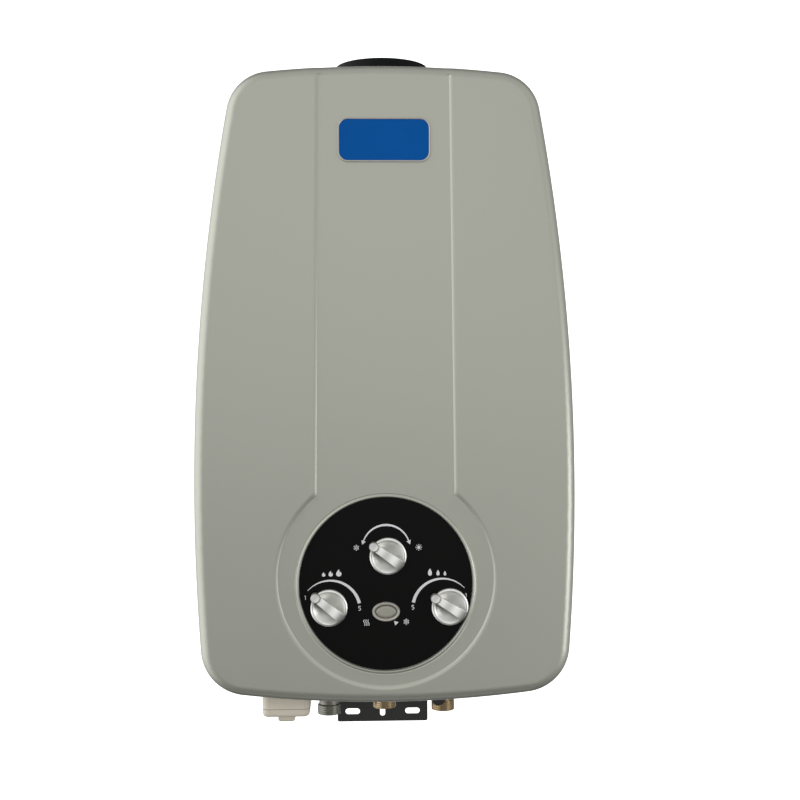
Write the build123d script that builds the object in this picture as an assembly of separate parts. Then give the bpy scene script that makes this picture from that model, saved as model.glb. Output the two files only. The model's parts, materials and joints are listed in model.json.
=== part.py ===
"""Wall-hung instant gas water heater.

Millimetres, +Z up, +X to the viewer's right. The wall is the plane Y = 0 and the heater hangs in front
of it, so a depth measured from the wall towards the viewer lies at Y = -depth.
"""
from build123d import *
import math
import os

# General fits
overrun = 2.0
slip = 0.3
running_gap = 0.05
hole_gap = 0.2

# Case outline, seen from the front
case_width = 330.0
case_height = 550.0
widest_drop = 93.0
side_bow_radius = 1850.0
top_bow_radius = 990.0
bottom_bow_radius = 1050.0
top_corner_radius = 36.0
bottom_corner_radius = 41.0

# Front cover
face_depth = 163.4
cover_rear = 4.0
cover_wall = 1.0
front_edge_radius = 9.5
panel_rise = 1.6
panel_slope = 2.4
panel_top_half = 57.8
panel_low_half = 61.6
ring_radius = 94.2
ring_lift = 5.2
notch_gap = 3.5

# Dial opening and control panel
dial_height = 103.3
dial_radius = 74.8
lip_depth = 5.0
lip_wall = 4.0
lip_round = 3.0
control_panel_thickness = 2.5
control_panel_rim = 9.0
panel_boss_radius = 3.5
panel_screw_count = 4
panel_screw_radius = 1.2
panel_screw_head_radius = 2.6
panel_screw_head = 1.6
panel_screw_bite = 2.4

# Knobs and their shafts
season_offset = 1.8
season_rise = 24.1
gas_offset = 49.2
water_offset = 55.1
control_drop = 20.1
season_rest = 145.0
gas_rest = 141.0
water_rest = 148.0
knob_radius = 16.0
knob_gap = 0.8
knob_skirt = 5.0
knob_bevel = 1.4
knob_dish_radius = 12.9
knob_dish = 1.6
knob_bar_width = 8.6
knob_bar_root = 6.0
knob_bar_crest = 9.2
knob_bar_tail = 5.2
knob_nub_radius = 4.1
knob_nub_inset = 1.0
knob_nub_height = 10.8
knob_nub_round = 0.9
knob_socket = 6.0
shaft_radius = 3.0
shaft_flat = 0.8
shaft_insert = 10.0

# Sight window
sight_drop = 24.3
bezel_width = 24.2
bezel_height = 16.8
bezel_band = 3.0
bezel_stand = 2.6
bezel_skirt = 0.6
lens_stand = 1.2

# Badge plate
badge_width = 80.0
badge_height = 38.0
badge_corner = 9.0
badge_thickness = 1.0
badge_drop = 65.0

# Back plate, hanger and lower bracket
case_gap = 0.4
plate_wall = 1.0
flange_depth = 24.0
hanger_width = 96.0
hanger_height = 36.0
hanger_thickness = 2.0
hanger_drop = 50.0
hanger_hole_radius = 4.0
hanger_spacing = 60.0
bracket_width = 88.8
bracket_thickness = 2.0
bracket_drop = 57.2
bracket_lap = 10.0
bracket_corner = 2.0
bracket_slot_length = 14.4
bracket_slot_radius = 3.0
bracket_slot_spacing = 59.0
bracket_slot_height = 9.9
bracket_notch_width = 5.1
bracket_notch_height = 5.0
bracket_notch_length = 14.0

# Screws
screw_radius = 1.6
screw_head_radius = 3.2
screw_head = 2.0
screw_edge = 8.0
cover_screw_radius = 2.0
cover_screw_head_radius = 4.0
cover_screw_head = 2.4
cover_screw_length = 8.0

# Base plate and water and gas fittings
base_lift = 14.0
base_sheet = 1.2
base_margin = 7.0
base_lip = 5.0
base_flange = 16.0
gas_port_offset = 51.0
cold_port_offset = 54.0
fitting_depth = 85.0
thread_radius = 10.48
thread_band = 9.0
neck_radius = 9.2
spigot_length = 10.0
fitting_bore = 6.5
shoulder_radius = 13.0
shoulder = 4.0
stub_radius = 8.0
stub_length = 8.0
locknut_flats = 27.0
locknut_height = 7.0
gas_end_drop = 27.4
hot_end_drop = 22.0
cold_end_drop = 24.7
hot_block = 22.0
drain_offset = 5.7
drain_level_drop = 9.5
drain_boss_radius = 6.0
drain_boss_reach = 15.0
drain_stem_radius = 3.0
drain_stem_length = 9.0
drain_head_radius = 6.5
drain_head_length = 9.0

# Heat exchanger
jacket_side_room = 65.0
jacket_front_room = 31.4
jacket_height = 170.0
jacket_wall = 0.8
jacket_corner = 7.5
jacket_rear = 28.0
jacket_drop = 85.0
fin_count = 31
fin_thickness = 0.5
fin_height = 52.0
fin_drop = 8.0
pass_pitch = 20.0
pass_margin = 11.0
pass_reach = 6.0
tube_end_reach = 17.0
pipe_radius = 7.0
pipe_wall = 0.8
pipe_bend = 14.0
end_bend = 11.0
coil_lift = 30.0
coil_rise = 6.0
header_reach = 30.0
riser_length = 32.0
riser_shift = 28.0
hot_return_drop = 70.0
hot_pipe_depth = 38.0
exchanger_bracket_side = 30.0
exchanger_bracket_height = 16.0
exchanger_bracket_sheet = 1.5
exchanger_bracket_inset = 6.0

# Flue
hood_lap = 10.0
hood_wall = 1.0
hood_height = 60.0
hood_top_room = 10.0
collar_room = 10.0
collar_wall = 1.2
collar_flange = 8.0
collar_stand = 14.9
collar_bead = 1.5
collar_bead_height = 4.0
collar_bead_lift = 1.0
collar_screw_count = 4
collar_screw_radius = 1.4
collar_screw_head_radius = 2.6
collar_screw_head = 1.8
collar_screw_length = 5.0

# Burner
burner_inset = 6.0
burner_sheet = 1.0
burner_height = 82.0
bar_count = 10
bar_side_room = 8.0
bar_thickness = 10.0
bar_end_gap = 6.0
bar_top_gap = 12.0
bar_height = 58.0
bar_round = 4.0
bar_sheet = 0.8
port_count = 12
port_width = 2.0
port_depth = 5.0
rail_width = 8.0
rail_height = 4.0
rail_inset = 8.0
injector_lift = 10.0
injector_radius = 3.5
injector_tip_radius = 2.0
injector_body = 8.0
injector_tip = 8.0
air_hole_radius = 5.5
manifold_size = 14.0
manifold_reach = 12.0
manifold_edge = 2.0
feed_radius = 6.0

# Electrodes
spark_offset = 25.0
sensor_offset = 45.0
spark_lift = 13.0
sensor_lift = 5.0
ceramic_radius = 3.5
ceramic_collar_radius = 5.0
ceramic_collar = 2.6
ceramic_inside = 14.0
ceramic_outside = 14.0
rod_radius = 1.0
rod_length = 18.0
electrode_plate = 1.2
electrode_plate_margin = 7.0

# Gas side valves
valve_stand = 58.0
valve_sheet = 2.0
valve_plate_half = 84.0
valve_plate_height = 44.0
valve_leg = 1.5
valve_foot = 14.0
gas_body_width = 56.0
gas_body_depth = 52.0
gas_body_below = 17.0
gas_body_above = 55.0
season_body_width = 43.0
season_body_depth = 42.0
season_body_below = 20.0
season_body_above = 20.0
boss_radius = 10.0
boss_length = 14.0
valve_edge = 3.0
solenoid_radius = 13.0
solenoid_wall = 3.0
solenoid_rise = 27.0
plunger_radius = 4.0
plunger_length = 26.0
plunger_insert = 4.0
plunger_travel = 3.0

# Water side valve and linkage
water_radius = 27.0
water_body_length = 42.0
port_margin = 3.0
diaphragm_thickness = 2.0
water_cover_length = 12.0
water_cover_wall = 3.0
water_chamber_radius = 20.0
water_neck_radius = 8.0
water_neck_length = 8.0
water_foot_height = 30.0
water_outlet_offset = 14.0
water_outlet_rise = 45.0
bolt_count = 6
bolt_circle = 23.5
bolt_radius = 1.75
bolt_head_radius = 3.1
bolt_head = 3.0
bolt_grip = 10.0
link_radius = 3.0
link_insert = 20.0
link_travel = 4.0
link_spare = 1.5
link_plate_radius = 17.0
link_plate = 2.0
link_collar_reach = 27.0
link_collar_radius = 8.2
link_collar = 3.0

# Microswitch
lever_arm = 12.0
lever_tip_radius = 1.3
lever_tip_drop = 6.2
lever_offset = 4.7
lever_thickness = 1.0
lever_width = 11.0
lever_pin_radius = 1.0
switch_width = 22.0
switch_depth = 16.0
switch_height = 12.0
switch_gap = 3.0
switch_ear = 1.5
switch_ear_half = 2.5
switch_foot_width = 8.0
switch_foot_rise = 7.0

# Igniter and leads
igniter_width = 60.0
igniter_height = 70.0
igniter_depth = 30.0
igniter_side_room = 21.0
igniter_rise = 45.0
igniter_edge = 3.0
lead_radius = 1.6
lead_bend = 12.0
lead_end_bend = 4.5
lead_pitch = 8.0
lead_front_gap = 6.0

# Battery box
box_centre = 88.0
box_width = 42.0
box_forward = 18.3
box_depth = 76.0
box_wall = 2.0
box_seam_drop = 10.3
box_height = 71.0
box_rim = 2.5
box_rim_height = 2.0
box_edge = 6.0
lid_height = 7.1
lid_round = 4.0
tab_width = 15.0
tab_height = 6.7
tab_depth = 14.0
tab_setback = 12.0
cell_radius = 16.6
cell_height = 58.0
cell_pitch = 35.0
nub_radius = 4.7
nub_height = 3.0
contact_size = 14.0
contact_sheet = 0.5
spring_width = 10.0
spring_half = 12.0
knuckle_radius = 3.2
knuckle_length = 10.0
knuckle_gap = 0.4
hinge_pin_radius = 1.3

# Levels and depths that follow from the sizes
low = -case_height / 2
high = case_height / 2
widest_level = -widest_drop
dial_level = low + dial_height
ring_level = dial_level + ring_lift
season_level = dial_level + season_rise
control_level = dial_level - control_drop
front_depth = face_depth + panel_rise
panel_front = front_depth - lip_depth
panel_rear = panel_front - control_panel_thickness
panel_radius = dial_radius + lip_wall + control_panel_rim
panel_screw_circle = dial_radius + lip_wall + control_panel_rim / 2
knob_rear = panel_front + knob_gap
sight_level = dial_level - sight_drop
gas_x = -gas_offset
water_x = water_offset
gas_port_x = -gas_port_offset
cold_port_x = cold_port_offset
season_x = season_offset
base_low = low + base_lift
base_top = base_low + base_sheet
jacket_top = high - jacket_drop
jacket_low = jacket_top - jacket_height
jacket_front = face_depth - jacket_front_room
jacket_depth = jacket_front - jacket_rear
jacket_width = case_width - 2 * jacket_side_room
jacket_middle = jacket_rear + jacket_depth / 2
pass_level = jacket_top - fin_drop - fin_height / 2
pass_count = 2 * int((jacket_depth / 2 - pass_margin) / pass_pitch) + 1
tube_end = jacket_width / 2 + tube_end_reach
exchanger_bracket_width = jacket_width - 2 * exchanger_bracket_side
collar_radius = jacket_depth / 2 - collar_room
hood_top_width = 2 * (collar_radius + collar_flange + hood_top_room)
hood_top = jacket_top + hood_height
collar_base = hood_top + hood_wall
valve_rear = valve_stand + valve_sheet
gas_left = gas_port_x - gas_body_width / 2
gas_right = gas_port_x + gas_body_width / 2
valve_front = valve_rear + gas_body_depth
boss_front = valve_front + boss_length
shaft_rear = valve_front - shaft_insert
season_right = gas_right + season_body_width
season_top = season_level + season_body_above
link_depth = valve_rear + water_radius + slip
water_left = cold_port_x - shoulder_radius - port_margin
water_right = water_left + water_body_length
diaphragm_left = water_left - diaphragm_thickness
water_cover_left = diaphragm_left - water_cover_length
water_outlet_x = cold_port_x + water_outlet_offset
water_outlet_top = control_level + water_outlet_rise
link_collar_left = gas_right + link_collar_reach
lever_tip_x = link_collar_left - slip - lever_tip_radius
lever_tip_level = control_level - lever_tip_drop
lever_x = lever_tip_x - lever_offset
lever_level = lever_tip_level - lever_arm
solenoid_level = control_level + solenoid_rise
plunger_left = gas_left + plunger_insert - plunger_length
solenoid_left = plunger_left - plunger_travel - link_spare - solenoid_wall
burner_width = jacket_width - 2 * burner_inset
bar_pitch = (burner_width - bar_side_room) / bar_count
burner_rear = jacket_rear + burner_inset
burner_front = jacket_front - burner_inset
burner_low = jacket_low - burner_height
bar_top = jacket_low - bar_top_gap
bar_low = bar_top - bar_height
injector_level = bar_low + injector_lift
manifold_rear = burner_front + manifold_reach
manifold_middle = manifold_rear + manifold_size / 2
manifold_low = injector_level - manifold_size / 2
spark_level = jacket_low + spark_lift
sensor_level = jacket_low + sensor_lift
ceramic_front = jacket_front + electrode_plate + ceramic_outside
lead_depth = ceramic_front + lead_front_gap
box_x = -box_centre
box_middle = face_depth / 2 + box_forward
box_front = box_middle + box_depth / 2
box_rear = box_middle - box_depth / 2
box_seam = low - box_seam_drop
box_top = box_seam + box_height
lid_top = box_seam - slip
lid_low = lid_top - lid_height
hinge_depth = box_rear - knuckle_radius - slip
igniter_low = control_level + igniter_rise
igniter_right = case_width / 2 - igniter_side_room
igniter_left = igniter_right - igniter_width


# Plain shapes placed by side, depth and level

def spot(x, depth, level):
    """A point given by its side, its depth from the wall and its level."""
    return (x, -depth, level)


def block(x0, x1, depth0, depth1, level0, level1):
    """A box between two sides, two depths and two levels."""
    middle = spot((x0 + x1) / 2, (depth0 + depth1) / 2, (level0 + level1) / 2)
    return Pos(*middle) * Box(x1 - x0, depth1 - depth0, level1 - level0)


def rod_across(radius, depth, level, x0, x1):
    """A cylinder along X."""
    return Pos(*spot((x0 + x1) / 2, depth, level)) * Rot(0, 90, 0) * Cylinder(radius, x1 - x0)


def rod_forward(radius, x, level, depth0, depth1):
    """A cylinder along the depth."""
    return Pos(*spot(x, (depth0 + depth1) / 2, level)) * Rot(90, 0, 0) * Cylinder(radius, depth1 - depth0)


def rod_upright(radius, x, depth, level0, level1):
    """A cylinder along Z."""
    return Pos(*spot(x, depth, (level0 + level1) / 2)) * Cylinder(radius, level1 - level0)


def slab(sketch, depth0, depth1):
    """A front-view outline, thickened between two depths."""
    return extrude(Plane.XZ.offset(depth0) * sketch, amount=depth1 - depth0)


def layer(sketch, level0, level1):
    """A plan-view outline, whose second axis is the depth, thickened between two levels."""
    plan = Plane((0, 0, level1), x_dir=(1, 0, 0), z_dir=(0, 0, -1))
    return extrude(plan * sketch, amount=level1 - level0)


def pipe(points, radius, wall, bends):
    """A round tube along straight runs joined by bends; no wall makes it solid."""
    path = FilletPolyline(*[spot(*point) for point in points], radius=bends)
    section = Circle(radius)
    if wall:
        section = section - Circle(radius - wall)
    return sweep(Plane(origin=path @ 0, z_dir=path % 0) * section, path=path)


def around(count, radius, turn=0):
    """Points evenly spaced on a circle."""
    angles = [math.radians(turn + 360 * step / count) for step in range(count)]
    return [(radius * math.cos(angle), radius * math.sin(angle)) for angle in angles]


# Case outline and pressed cover

def right_meeting(centre_a, radius_a, centre_b, radius_b):
    """The meeting point of two circles that lies further to the right."""
    run = centre_b[0] - centre_a[0]
    rise = centre_b[1] - centre_a[1]
    span = math.hypot(run, rise)
    along = (radius_a**2 - radius_b**2 + span**2) / (2 * span)
    across = math.sqrt(radius_a**2 - along**2)
    foot = (centre_a[0] + along * run / span, centre_a[1] + along * rise / span)
    step = (-across * rise / span, across * run / span)
    return max((foot[0] + step[0], foot[1] + step[1]), (foot[0] - step[0], foot[1] - step[1]))


def case_outline(inset=0):
    """The bowed outline of the case, drawn in all round by an inset."""
    side_centre = (case_width / 2 - side_bow_radius, widest_level)
    top_centre = (0, high - top_bow_radius)
    low_centre = (0, low + bottom_bow_radius)
    side = side_bow_radius - inset
    top_x, top_z = right_meeting(side_centre, side, top_centre, top_bow_radius - inset)
    low_x, low_z = right_meeting(side_centre, side, low_centre, bottom_bow_radius - inset)
    side_x = case_width / 2 - inset
    arcs = [
        ThreePointArc((low_x, low_z), (side_x, widest_level), (top_x, top_z)),
        ThreePointArc((top_x, top_z), (0, high - inset), (-top_x, top_z)),
        ThreePointArc((-top_x, top_z), (-side_x, widest_level), (-low_x, low_z)),
        ThreePointArc((-low_x, low_z), (0, low + inset), (low_x, low_z)),
    ]
    face = make_face(arcs)
    face = fillet(face.vertices().sort_by(Axis.Y)[-2:], top_corner_radius - inset)
    return fillet(face.vertices().sort_by(Axis.Y)[:2], bottom_corner_radius - inset)


def raised_outline(grow):
    """The raised field: a tapered strip up the middle, running into a ring round the dial."""
    top = high + overrun
    strip = Polygon(
        (-panel_low_half - grow, ring_level),
        (panel_low_half + grow, ring_level),
        (panel_top_half + grow, top),
        (-panel_top_half - grow, top),
        align=None,
    )
    return strip + Pos(0, ring_level) * Circle(ring_radius + grow)


def rounded_shell(inset, rear, front):
    """The case as a solid, with its front edge rounded."""
    body = slab(case_outline(inset), rear, front)
    edges = body.faces().sort_by(Axis.Y)[0].edges()
    return fillet(edges, front_edge_radius - inset)


def cover_form(inset, rear):
    """The whole pressed form of the cover as a solid, drawn in by an inset."""
    face = face_depth - inset
    front = front_depth - inset
    half = panel_slope / 2
    wide = raised_outline(half - inset)
    narrow = raised_outline(-half - inset)
    foot = slab(wide, face - 2 * front_edge_radius, face)
    slope = loft([Plane.XZ.offset(face) * wide, Plane.XZ.offset(front) * narrow], ruled=True)
    raised = rounded_shell(inset, rear, front) & (foot + slope)
    return rounded_shell(inset, rear, face) + raised


def dial_lip():
    """The drawn-in edge of the dial opening."""
    ring = rod_forward(dial_radius + lip_wall, 0, dial_level, panel_front, front_depth)
    ring -= rod_forward(dial_radius, 0, dial_level, panel_front - overrun, front_depth + overrun)
    front_edges = ring.edges().group_by(Axis.Y)[0]
    return fillet(front_edges.sort_by(SortBy.RADIUS)[:1], lip_round)


def panel_screw_places():
    """Where the control panel is screwed to the cover."""
    return [(x, dial_level + z) for x, z in around(panel_screw_count, panel_screw_circle, 45)]


def front_cover():
    """The pressed steel cover, open at the back, notched for the flue and the connections."""
    cover = cover_form(0, cover_rear) - cover_form(cover_wall, cover_rear - overrun)
    cover -= rod_forward(dial_radius + lip_wall, 0, dial_level, panel_front, front_depth + overrun)
    cover += dial_lip()
    for x, level in panel_screw_places():
        boss_end = front_depth - cover_wall
        boss = rod_forward(panel_boss_radius, x, level, panel_front, boss_end)
        cover += boss - rod_forward(panel_screw_radius + running_gap, x, level, panel_front, boss_end)
    flue_gap = collar_radius + notch_gap
    cover -= rod_upright(flue_gap, 0, jacket_middle, high - front_edge_radius * 2, high + overrun)
    cover -= block(-flue_gap, flue_gap, 0, jacket_middle, high - front_edge_radius * 2, high + overrun)
    left = box_x - box_width / 2 - notch_gap
    right = cold_port_x + locknut_flats / 2 + notch_gap
    cover -= block(left, right, 0, box_front + notch_gap, low - overrun, base_low)
    for side in (-1, 1):
        edge = side * case_width / 2
        cover -= rod_across(
            cover_screw_radius + hole_gap, flange_depth / 2, widest_level,
            edge - cover_screw_length, edge + cover_screw_length,
        )
    return cover


def badge_plate():
    """A plain plate on the raised panel."""
    shape = Pos(0, high - badge_drop) * RectangleRounded(badge_width, badge_height, badge_corner)
    return slab(shape, front_depth, front_depth + badge_thickness)


# Back of the case

def chassis_screw_places():
    """Side, level and seat depth of each screw that holds something to the back plate."""
    places = []
    bracket_edge = exchanger_bracket_width / 2 - screw_edge
    foot = valve_plate_half + valve_foot / 2
    foot_rise = valve_plate_height / 2 - screw_edge
    lap_level = low + case_gap + cover_wall + bracket_lap / 2 + plate_wall
    for side in (-1, 1):
        for level in exchanger_bracket_levels():
            middle = level + exchanger_bracket_height / 2
            places.append((side * bracket_edge, middle, plate_wall + exchanger_bracket_sheet))
        for rise in (-foot_rise, foot_rise):
            places.append((side * foot, control_level + rise, plate_wall + valve_leg))
        places.append((side * hanger_spacing / 4, high - hanger_drop, plate_wall + hanger_thickness))
        places.append((side * bracket_width / 4, lap_level, plate_wall + bracket_thickness))
        base_x = (box_x if side < 0 else cold_port_x)
        places.append((base_x, base_low + base_flange - screw_edge, plate_wall + base_sheet))
    return places


def screw_holes():
    """Clearance holes for the chassis screws."""
    return [
        rod_forward(screw_radius + running_gap, x, level, -overrun, seat + overrun)
        for x, level, seat in chassis_screw_places()
    ]


def chassis_screws():
    """Pan-head screws, each flush with the back plate behind."""
    screws = []
    for x, level, seat in chassis_screw_places():
        head = rod_forward(screw_head_radius, x, level, seat, seat + screw_head)
        head = fillet(head.edges().group_by(Axis.Y)[0], screw_head / 2)
        screws.append(head + rod_forward(screw_radius, x, level, 0, seat))
    return Compound(screws)


def back_plate():
    """The shallow pan that the whole heater is built on."""
    outer = case_gap + cover_wall
    pan = slab(case_outline(outer), 0, flange_depth)
    pan -= slab(case_outline(outer + plate_wall), plate_wall, flange_depth + overrun)
    half = bracket_width / 2 + slip
    pan -= block(-half, half, plate_wall, flange_depth + overrun, low, low + bracket_lap)
    for side in (-1, 1):
        hanger_x = side * hanger_spacing / 2
        pan -= rod_forward(hanger_hole_radius, hanger_x, high - hanger_drop, -overrun, plate_wall + overrun)
        edge = side * case_width / 2
        pan -= rod_across(
            cover_screw_radius + running_gap, flange_depth / 2, widest_level,
            edge - cover_screw_length, edge + cover_screw_length,
        )
    return pan - screw_holes()


def cover_screws():
    """The two screws that hold the cover at its sides."""
    seat = case_width / 2
    depth = flange_depth / 2
    head = rod_across(cover_screw_head_radius, depth, widest_level, seat, seat + cover_screw_head)
    screw = head + rod_across(cover_screw_radius, depth, widest_level, seat - cover_screw_length, seat)
    return Compound([screw, mirror(screw, about=Plane.YZ)])


def hanger_plate():
    """The strip inside the back plate that hangs on two wall hooks."""
    shape = RectangleRounded(hanger_width, hanger_height, bracket_corner)
    for side in (-1, 1):
        shape -= Pos(side * hanger_spacing / 2, 0) * Circle(hanger_hole_radius)
    plate = slab(Pos(0, high - hanger_drop) * shape, plate_wall, plate_wall + hanger_thickness)
    return plate - screw_holes()


def lower_wall_bracket():
    """The slotted plate below the case that is bolted to the wall."""
    bottom = low - bracket_drop
    top = low + bracket_lap + case_gap + cover_wall
    middle = (bottom + top) / 2
    shape = Pos(0, middle) * RectangleRounded(bracket_width, top - bottom, bracket_corner)
    slot_level = bottom + bracket_slot_height
    for side in (-1, 1):
        straight = bracket_slot_length - 2 * bracket_slot_radius
        slot = SlotCenterToCenter(straight, 2 * bracket_slot_radius)
        shape -= Pos(side * bracket_slot_spacing / 2, slot_level) * slot
    notch = SlotCenterToCenter(bracket_notch_length, bracket_notch_width, rotation=90)
    notch_middle = bottom + bracket_notch_height + (bracket_notch_length + bracket_notch_width) / 2
    shape -= Pos(0, notch_middle) * notch
    plate = slab(shape, plate_wall, plate_wall + bracket_thickness)
    return plate - screw_holes()


# Control panel

def ellipse_slab(width, height, depth0, depth1):
    """An oval thickened between two depths at the sight window."""
    return slab(Pos(0, sight_level) * Ellipse(width / 2, height / 2), depth0, depth1)


def control_panel():
    """The round panel behind the dial opening."""
    panel = rod_forward(panel_radius, 0, dial_level, panel_rear, panel_front)
    for x, level in knob_places():
        panel -= rod_forward(shaft_radius + 2 * slip, x, level, panel_rear - overrun, panel_front + overrun)
    for x, level in panel_screw_places():
        radius = panel_screw_radius + hole_gap
        panel -= rod_forward(radius, x, level, panel_rear - overrun, panel_front + overrun)
    skirt = lens_size(bezel_skirt + running_gap)
    return panel - ellipse_slab(*skirt, panel_rear - overrun, panel_front + overrun)


def panel_screws():
    """The screws that hold the control panel to the bosses inside the cover."""
    screws = []
    for x, level in panel_screw_places():
        head = rod_forward(panel_screw_head_radius, x, level, panel_rear - panel_screw_head, panel_rear)
        shank = rod_forward(panel_screw_radius, x, level, panel_rear, panel_front + panel_screw_bite)
        screws.append(head + shank)
    return Compound(screws)


def lens_size(grow=0):
    """Width and height of the oval inside the bezel, grown all round."""
    opening = 2 * (grow - bezel_band)
    return bezel_width + opening, bezel_height + opening


def sight_bezel():
    """The oval frame of the flame window, with a skirt that reaches through the panel."""
    frame = ellipse_slab(bezel_width, bezel_height, panel_front, panel_front + bezel_stand)
    frame = fillet(frame.faces().sort_by(Axis.Y)[0].edges(), bezel_band / 3)
    frame += ellipse_slab(*lens_size(bezel_skirt), panel_rear, panel_front)
    return frame - ellipse_slab(*lens_size(), panel_rear - overrun, panel_front + bezel_stand + overrun)


def sight_lens():
    """The window pane inside the bezel."""
    pane = ellipse_slab(*lens_size(-running_gap), panel_rear, panel_front + lens_stand)
    return fillet(pane.faces().sort_by(Axis.Y)[0].edges(), lens_stand / 3)


# Knobs and shafts

def knob_places():
    """Side and level of the season, gas and water knobs."""
    return [(season_x, season_level), (gas_x, control_level), (water_x, control_level)]


def flatted_rod(radius, flat, length):
    """A rod along Z with a flat along one side."""
    rod = Cylinder(radius, length, align=(Align.CENTER, Align.CENTER, Align.MIN))
    cut = Box(2 * radius, radius, length, align=(Align.CENTER, Align.MIN, Align.MIN))
    return rod - Pos(0, radius - flat, 0) * cut


def knob_shape():
    """A knob with its back on Z = 0 and its pointer along +X."""
    upright = (Align.CENTER, Align.CENTER, Align.MIN)
    skirt = Cylinder(knob_radius, knob_skirt, align=upright)
    skirt = chamfer(skirt.edges().group_by(Axis.Z)[-1], knob_bevel)
    floor = knob_skirt - knob_dish
    skirt -= Pos(0, 0, floor) * Cylinder(knob_dish_radius, knob_skirt, align=upright)
    nub_middle = knob_radius - knob_nub_inset
    crest = (nub_middle, knob_bar_crest)
    tail = (-knob_radius, knob_bar_tail)
    profile = make_face([
        Line((-knob_radius, floor), (nub_middle, floor)),
        Line((nub_middle, floor), crest),
        TangentArc(crest, tail, tangent=(-1, 0)),
        Line(tail, (-knob_radius, floor)),
    ])
    bar = extrude(Plane.XZ * profile, amount=knob_bar_width / 2, both=True)
    half = knob_bar_width / 2
    root = knob_bar_root / 2
    corners = [(-knob_radius, -half), (nub_middle, -root), (nub_middle, root), (-knob_radius, half)]
    bar &= extrude(Polygon(*corners, align=None), knob_nub_height)
    bar &= Cylinder(knob_radius, knob_nub_height, align=upright)
    nub = Pos(nub_middle, 0, floor) * Cylinder(knob_nub_radius, knob_nub_height - floor, align=upright)
    nub = fillet(nub.edges().group_by(Axis.Z)[-1], knob_nub_round)
    return skirt + bar + nub - flatted_rod(shaft_radius + running_gap, shaft_flat, knob_socket)


def knob_plane(x, level, angle):
    """The plane of a knob's back, with X along its pointer and Z towards the viewer."""
    turn = math.radians(angle)
    return Plane(spot(x, knob_rear, level), x_dir=(math.cos(turn), 0, math.sin(turn)), z_dir=(0, -1, 0))


def knob(x, level, angle):
    """A knob at its place, pointing the way it rests."""
    return knob_plane(x, level, angle) * knob_shape()


def shaft(x, level, angle):
    """A valve shaft, round in its boss and flatted inside its knob."""
    stem = rod_forward(shaft_radius, x, level, shaft_rear, knob_rear)
    return stem + knob_plane(x, level, angle) * flatted_rod(shaft_radius, shaft_flat, knob_socket - slip)


def shaft_bore(x, level):
    """The running bore of a shaft in a valve body."""
    return rod_forward(shaft_radius + running_gap, x, level, shaft_rear - slip, boss_front + overrun)


# Base plate and fittings

def box_outline(grow=0):
    """Plan of the battery box, grown all round."""
    size = RectangleRounded(box_width + 2 * grow, box_depth + 2 * grow, box_edge + grow)
    return Pos(box_x, box_middle) * size


def base_plate():
    """The shelf at the bottom of the case that carries the fittings and the battery box."""
    left = box_x - box_width / 2 - base_margin
    right = cold_port_x + shoulder_radius + base_margin
    plate = block(left, right, plate_wall, box_front + base_lip, base_low, base_top)
    plate += block(left, right, plate_wall, plate_wall + base_sheet, base_low, base_low + base_flange)
    radius = thread_radius + hole_gap
    for x in (gas_port_x, 0, cold_port_x):
        plate -= rod_upright(radius, x, fitting_depth, base_low - overrun, base_top + overrun)
    plate -= layer(box_outline(hole_gap), base_low - overrun, base_top + overrun)
    return plate - screw_holes()


def spigot(x, end):
    """The threaded tail of a fitting, from the base plate down to its end."""
    tail = rod_upright(thread_radius, x, fitting_depth, base_low - spigot_length, base_top)
    tail += rod_upright(neck_radius, x, fitting_depth, end + thread_band, base_low - spigot_length)
    return tail + rod_upright(thread_radius, x, fitting_depth, end, end + thread_band)


def valve_fitting(x, end_drop):
    """A fitting that stands on the base plate and plugs into the valve above it."""
    end = low - end_drop
    seat = base_top + shoulder
    body = spigot(x, end)
    body += rod_upright(shoulder_radius, x, fitting_depth, base_top, seat)
    body += rod_upright(stub_radius, x, fitting_depth, seat, seat + stub_length)
    return body - rod_upright(fitting_bore, x, fitting_depth, end - overrun, seat + stub_length + overrun)


def gas_inlet_fitting():
    """The gas connection on the left."""
    return valve_fitting(gas_port_x, gas_end_drop)


def drain_line(radius, depth0, depth1):
    """A cylinder on the axis of the drain plug."""
    return rod_forward(radius, cold_port_x - drain_offset, low - drain_level_drop, depth0, depth1)


def cold_inlet_fitting():
    """The cold water connection on the right, with the boss for its drain plug."""
    front = fitting_depth + drain_boss_reach
    boss = drain_line(drain_boss_radius, fitting_depth, front)
    boss -= rod_upright(neck_radius, cold_port_x, fitting_depth, low - cold_end_drop, base_low)
    body = valve_fitting(cold_port_x, cold_end_drop) + boss
    bore_end = front - drain_stem_length - slip
    return body - drain_line(drain_stem_radius + running_gap, bore_end, front + overrun)


def drain_plug():
    """The thumb screw that empties the heater."""
    front = fitting_depth + drain_boss_reach
    stem = drain_line(drain_stem_radius, front - drain_stem_length, front + slip)
    head = drain_line(drain_head_radius, front + slip, front + slip + drain_head_length)
    head = chamfer(head.edges().group_by(Axis.Y)[0], drain_head_radius / 6)
    return stem + head


def hot_outlet_fitting():
    """The hot water connection in the middle, with an elbow block above the base plate."""
    end = low - hot_end_drop
    half = hot_block / 2
    body = spigot(0, end)
    body += block(-half, half, fitting_depth - half, fitting_depth + half, base_top, base_top + hot_block)
    body -= rod_upright(fitting_bore, 0, fitting_depth, end - overrun, base_top + half)
    port_end = fitting_depth - half - overrun
    return body - rod_forward(fitting_bore, 0, base_top + half, port_end, fitting_depth)


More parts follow.
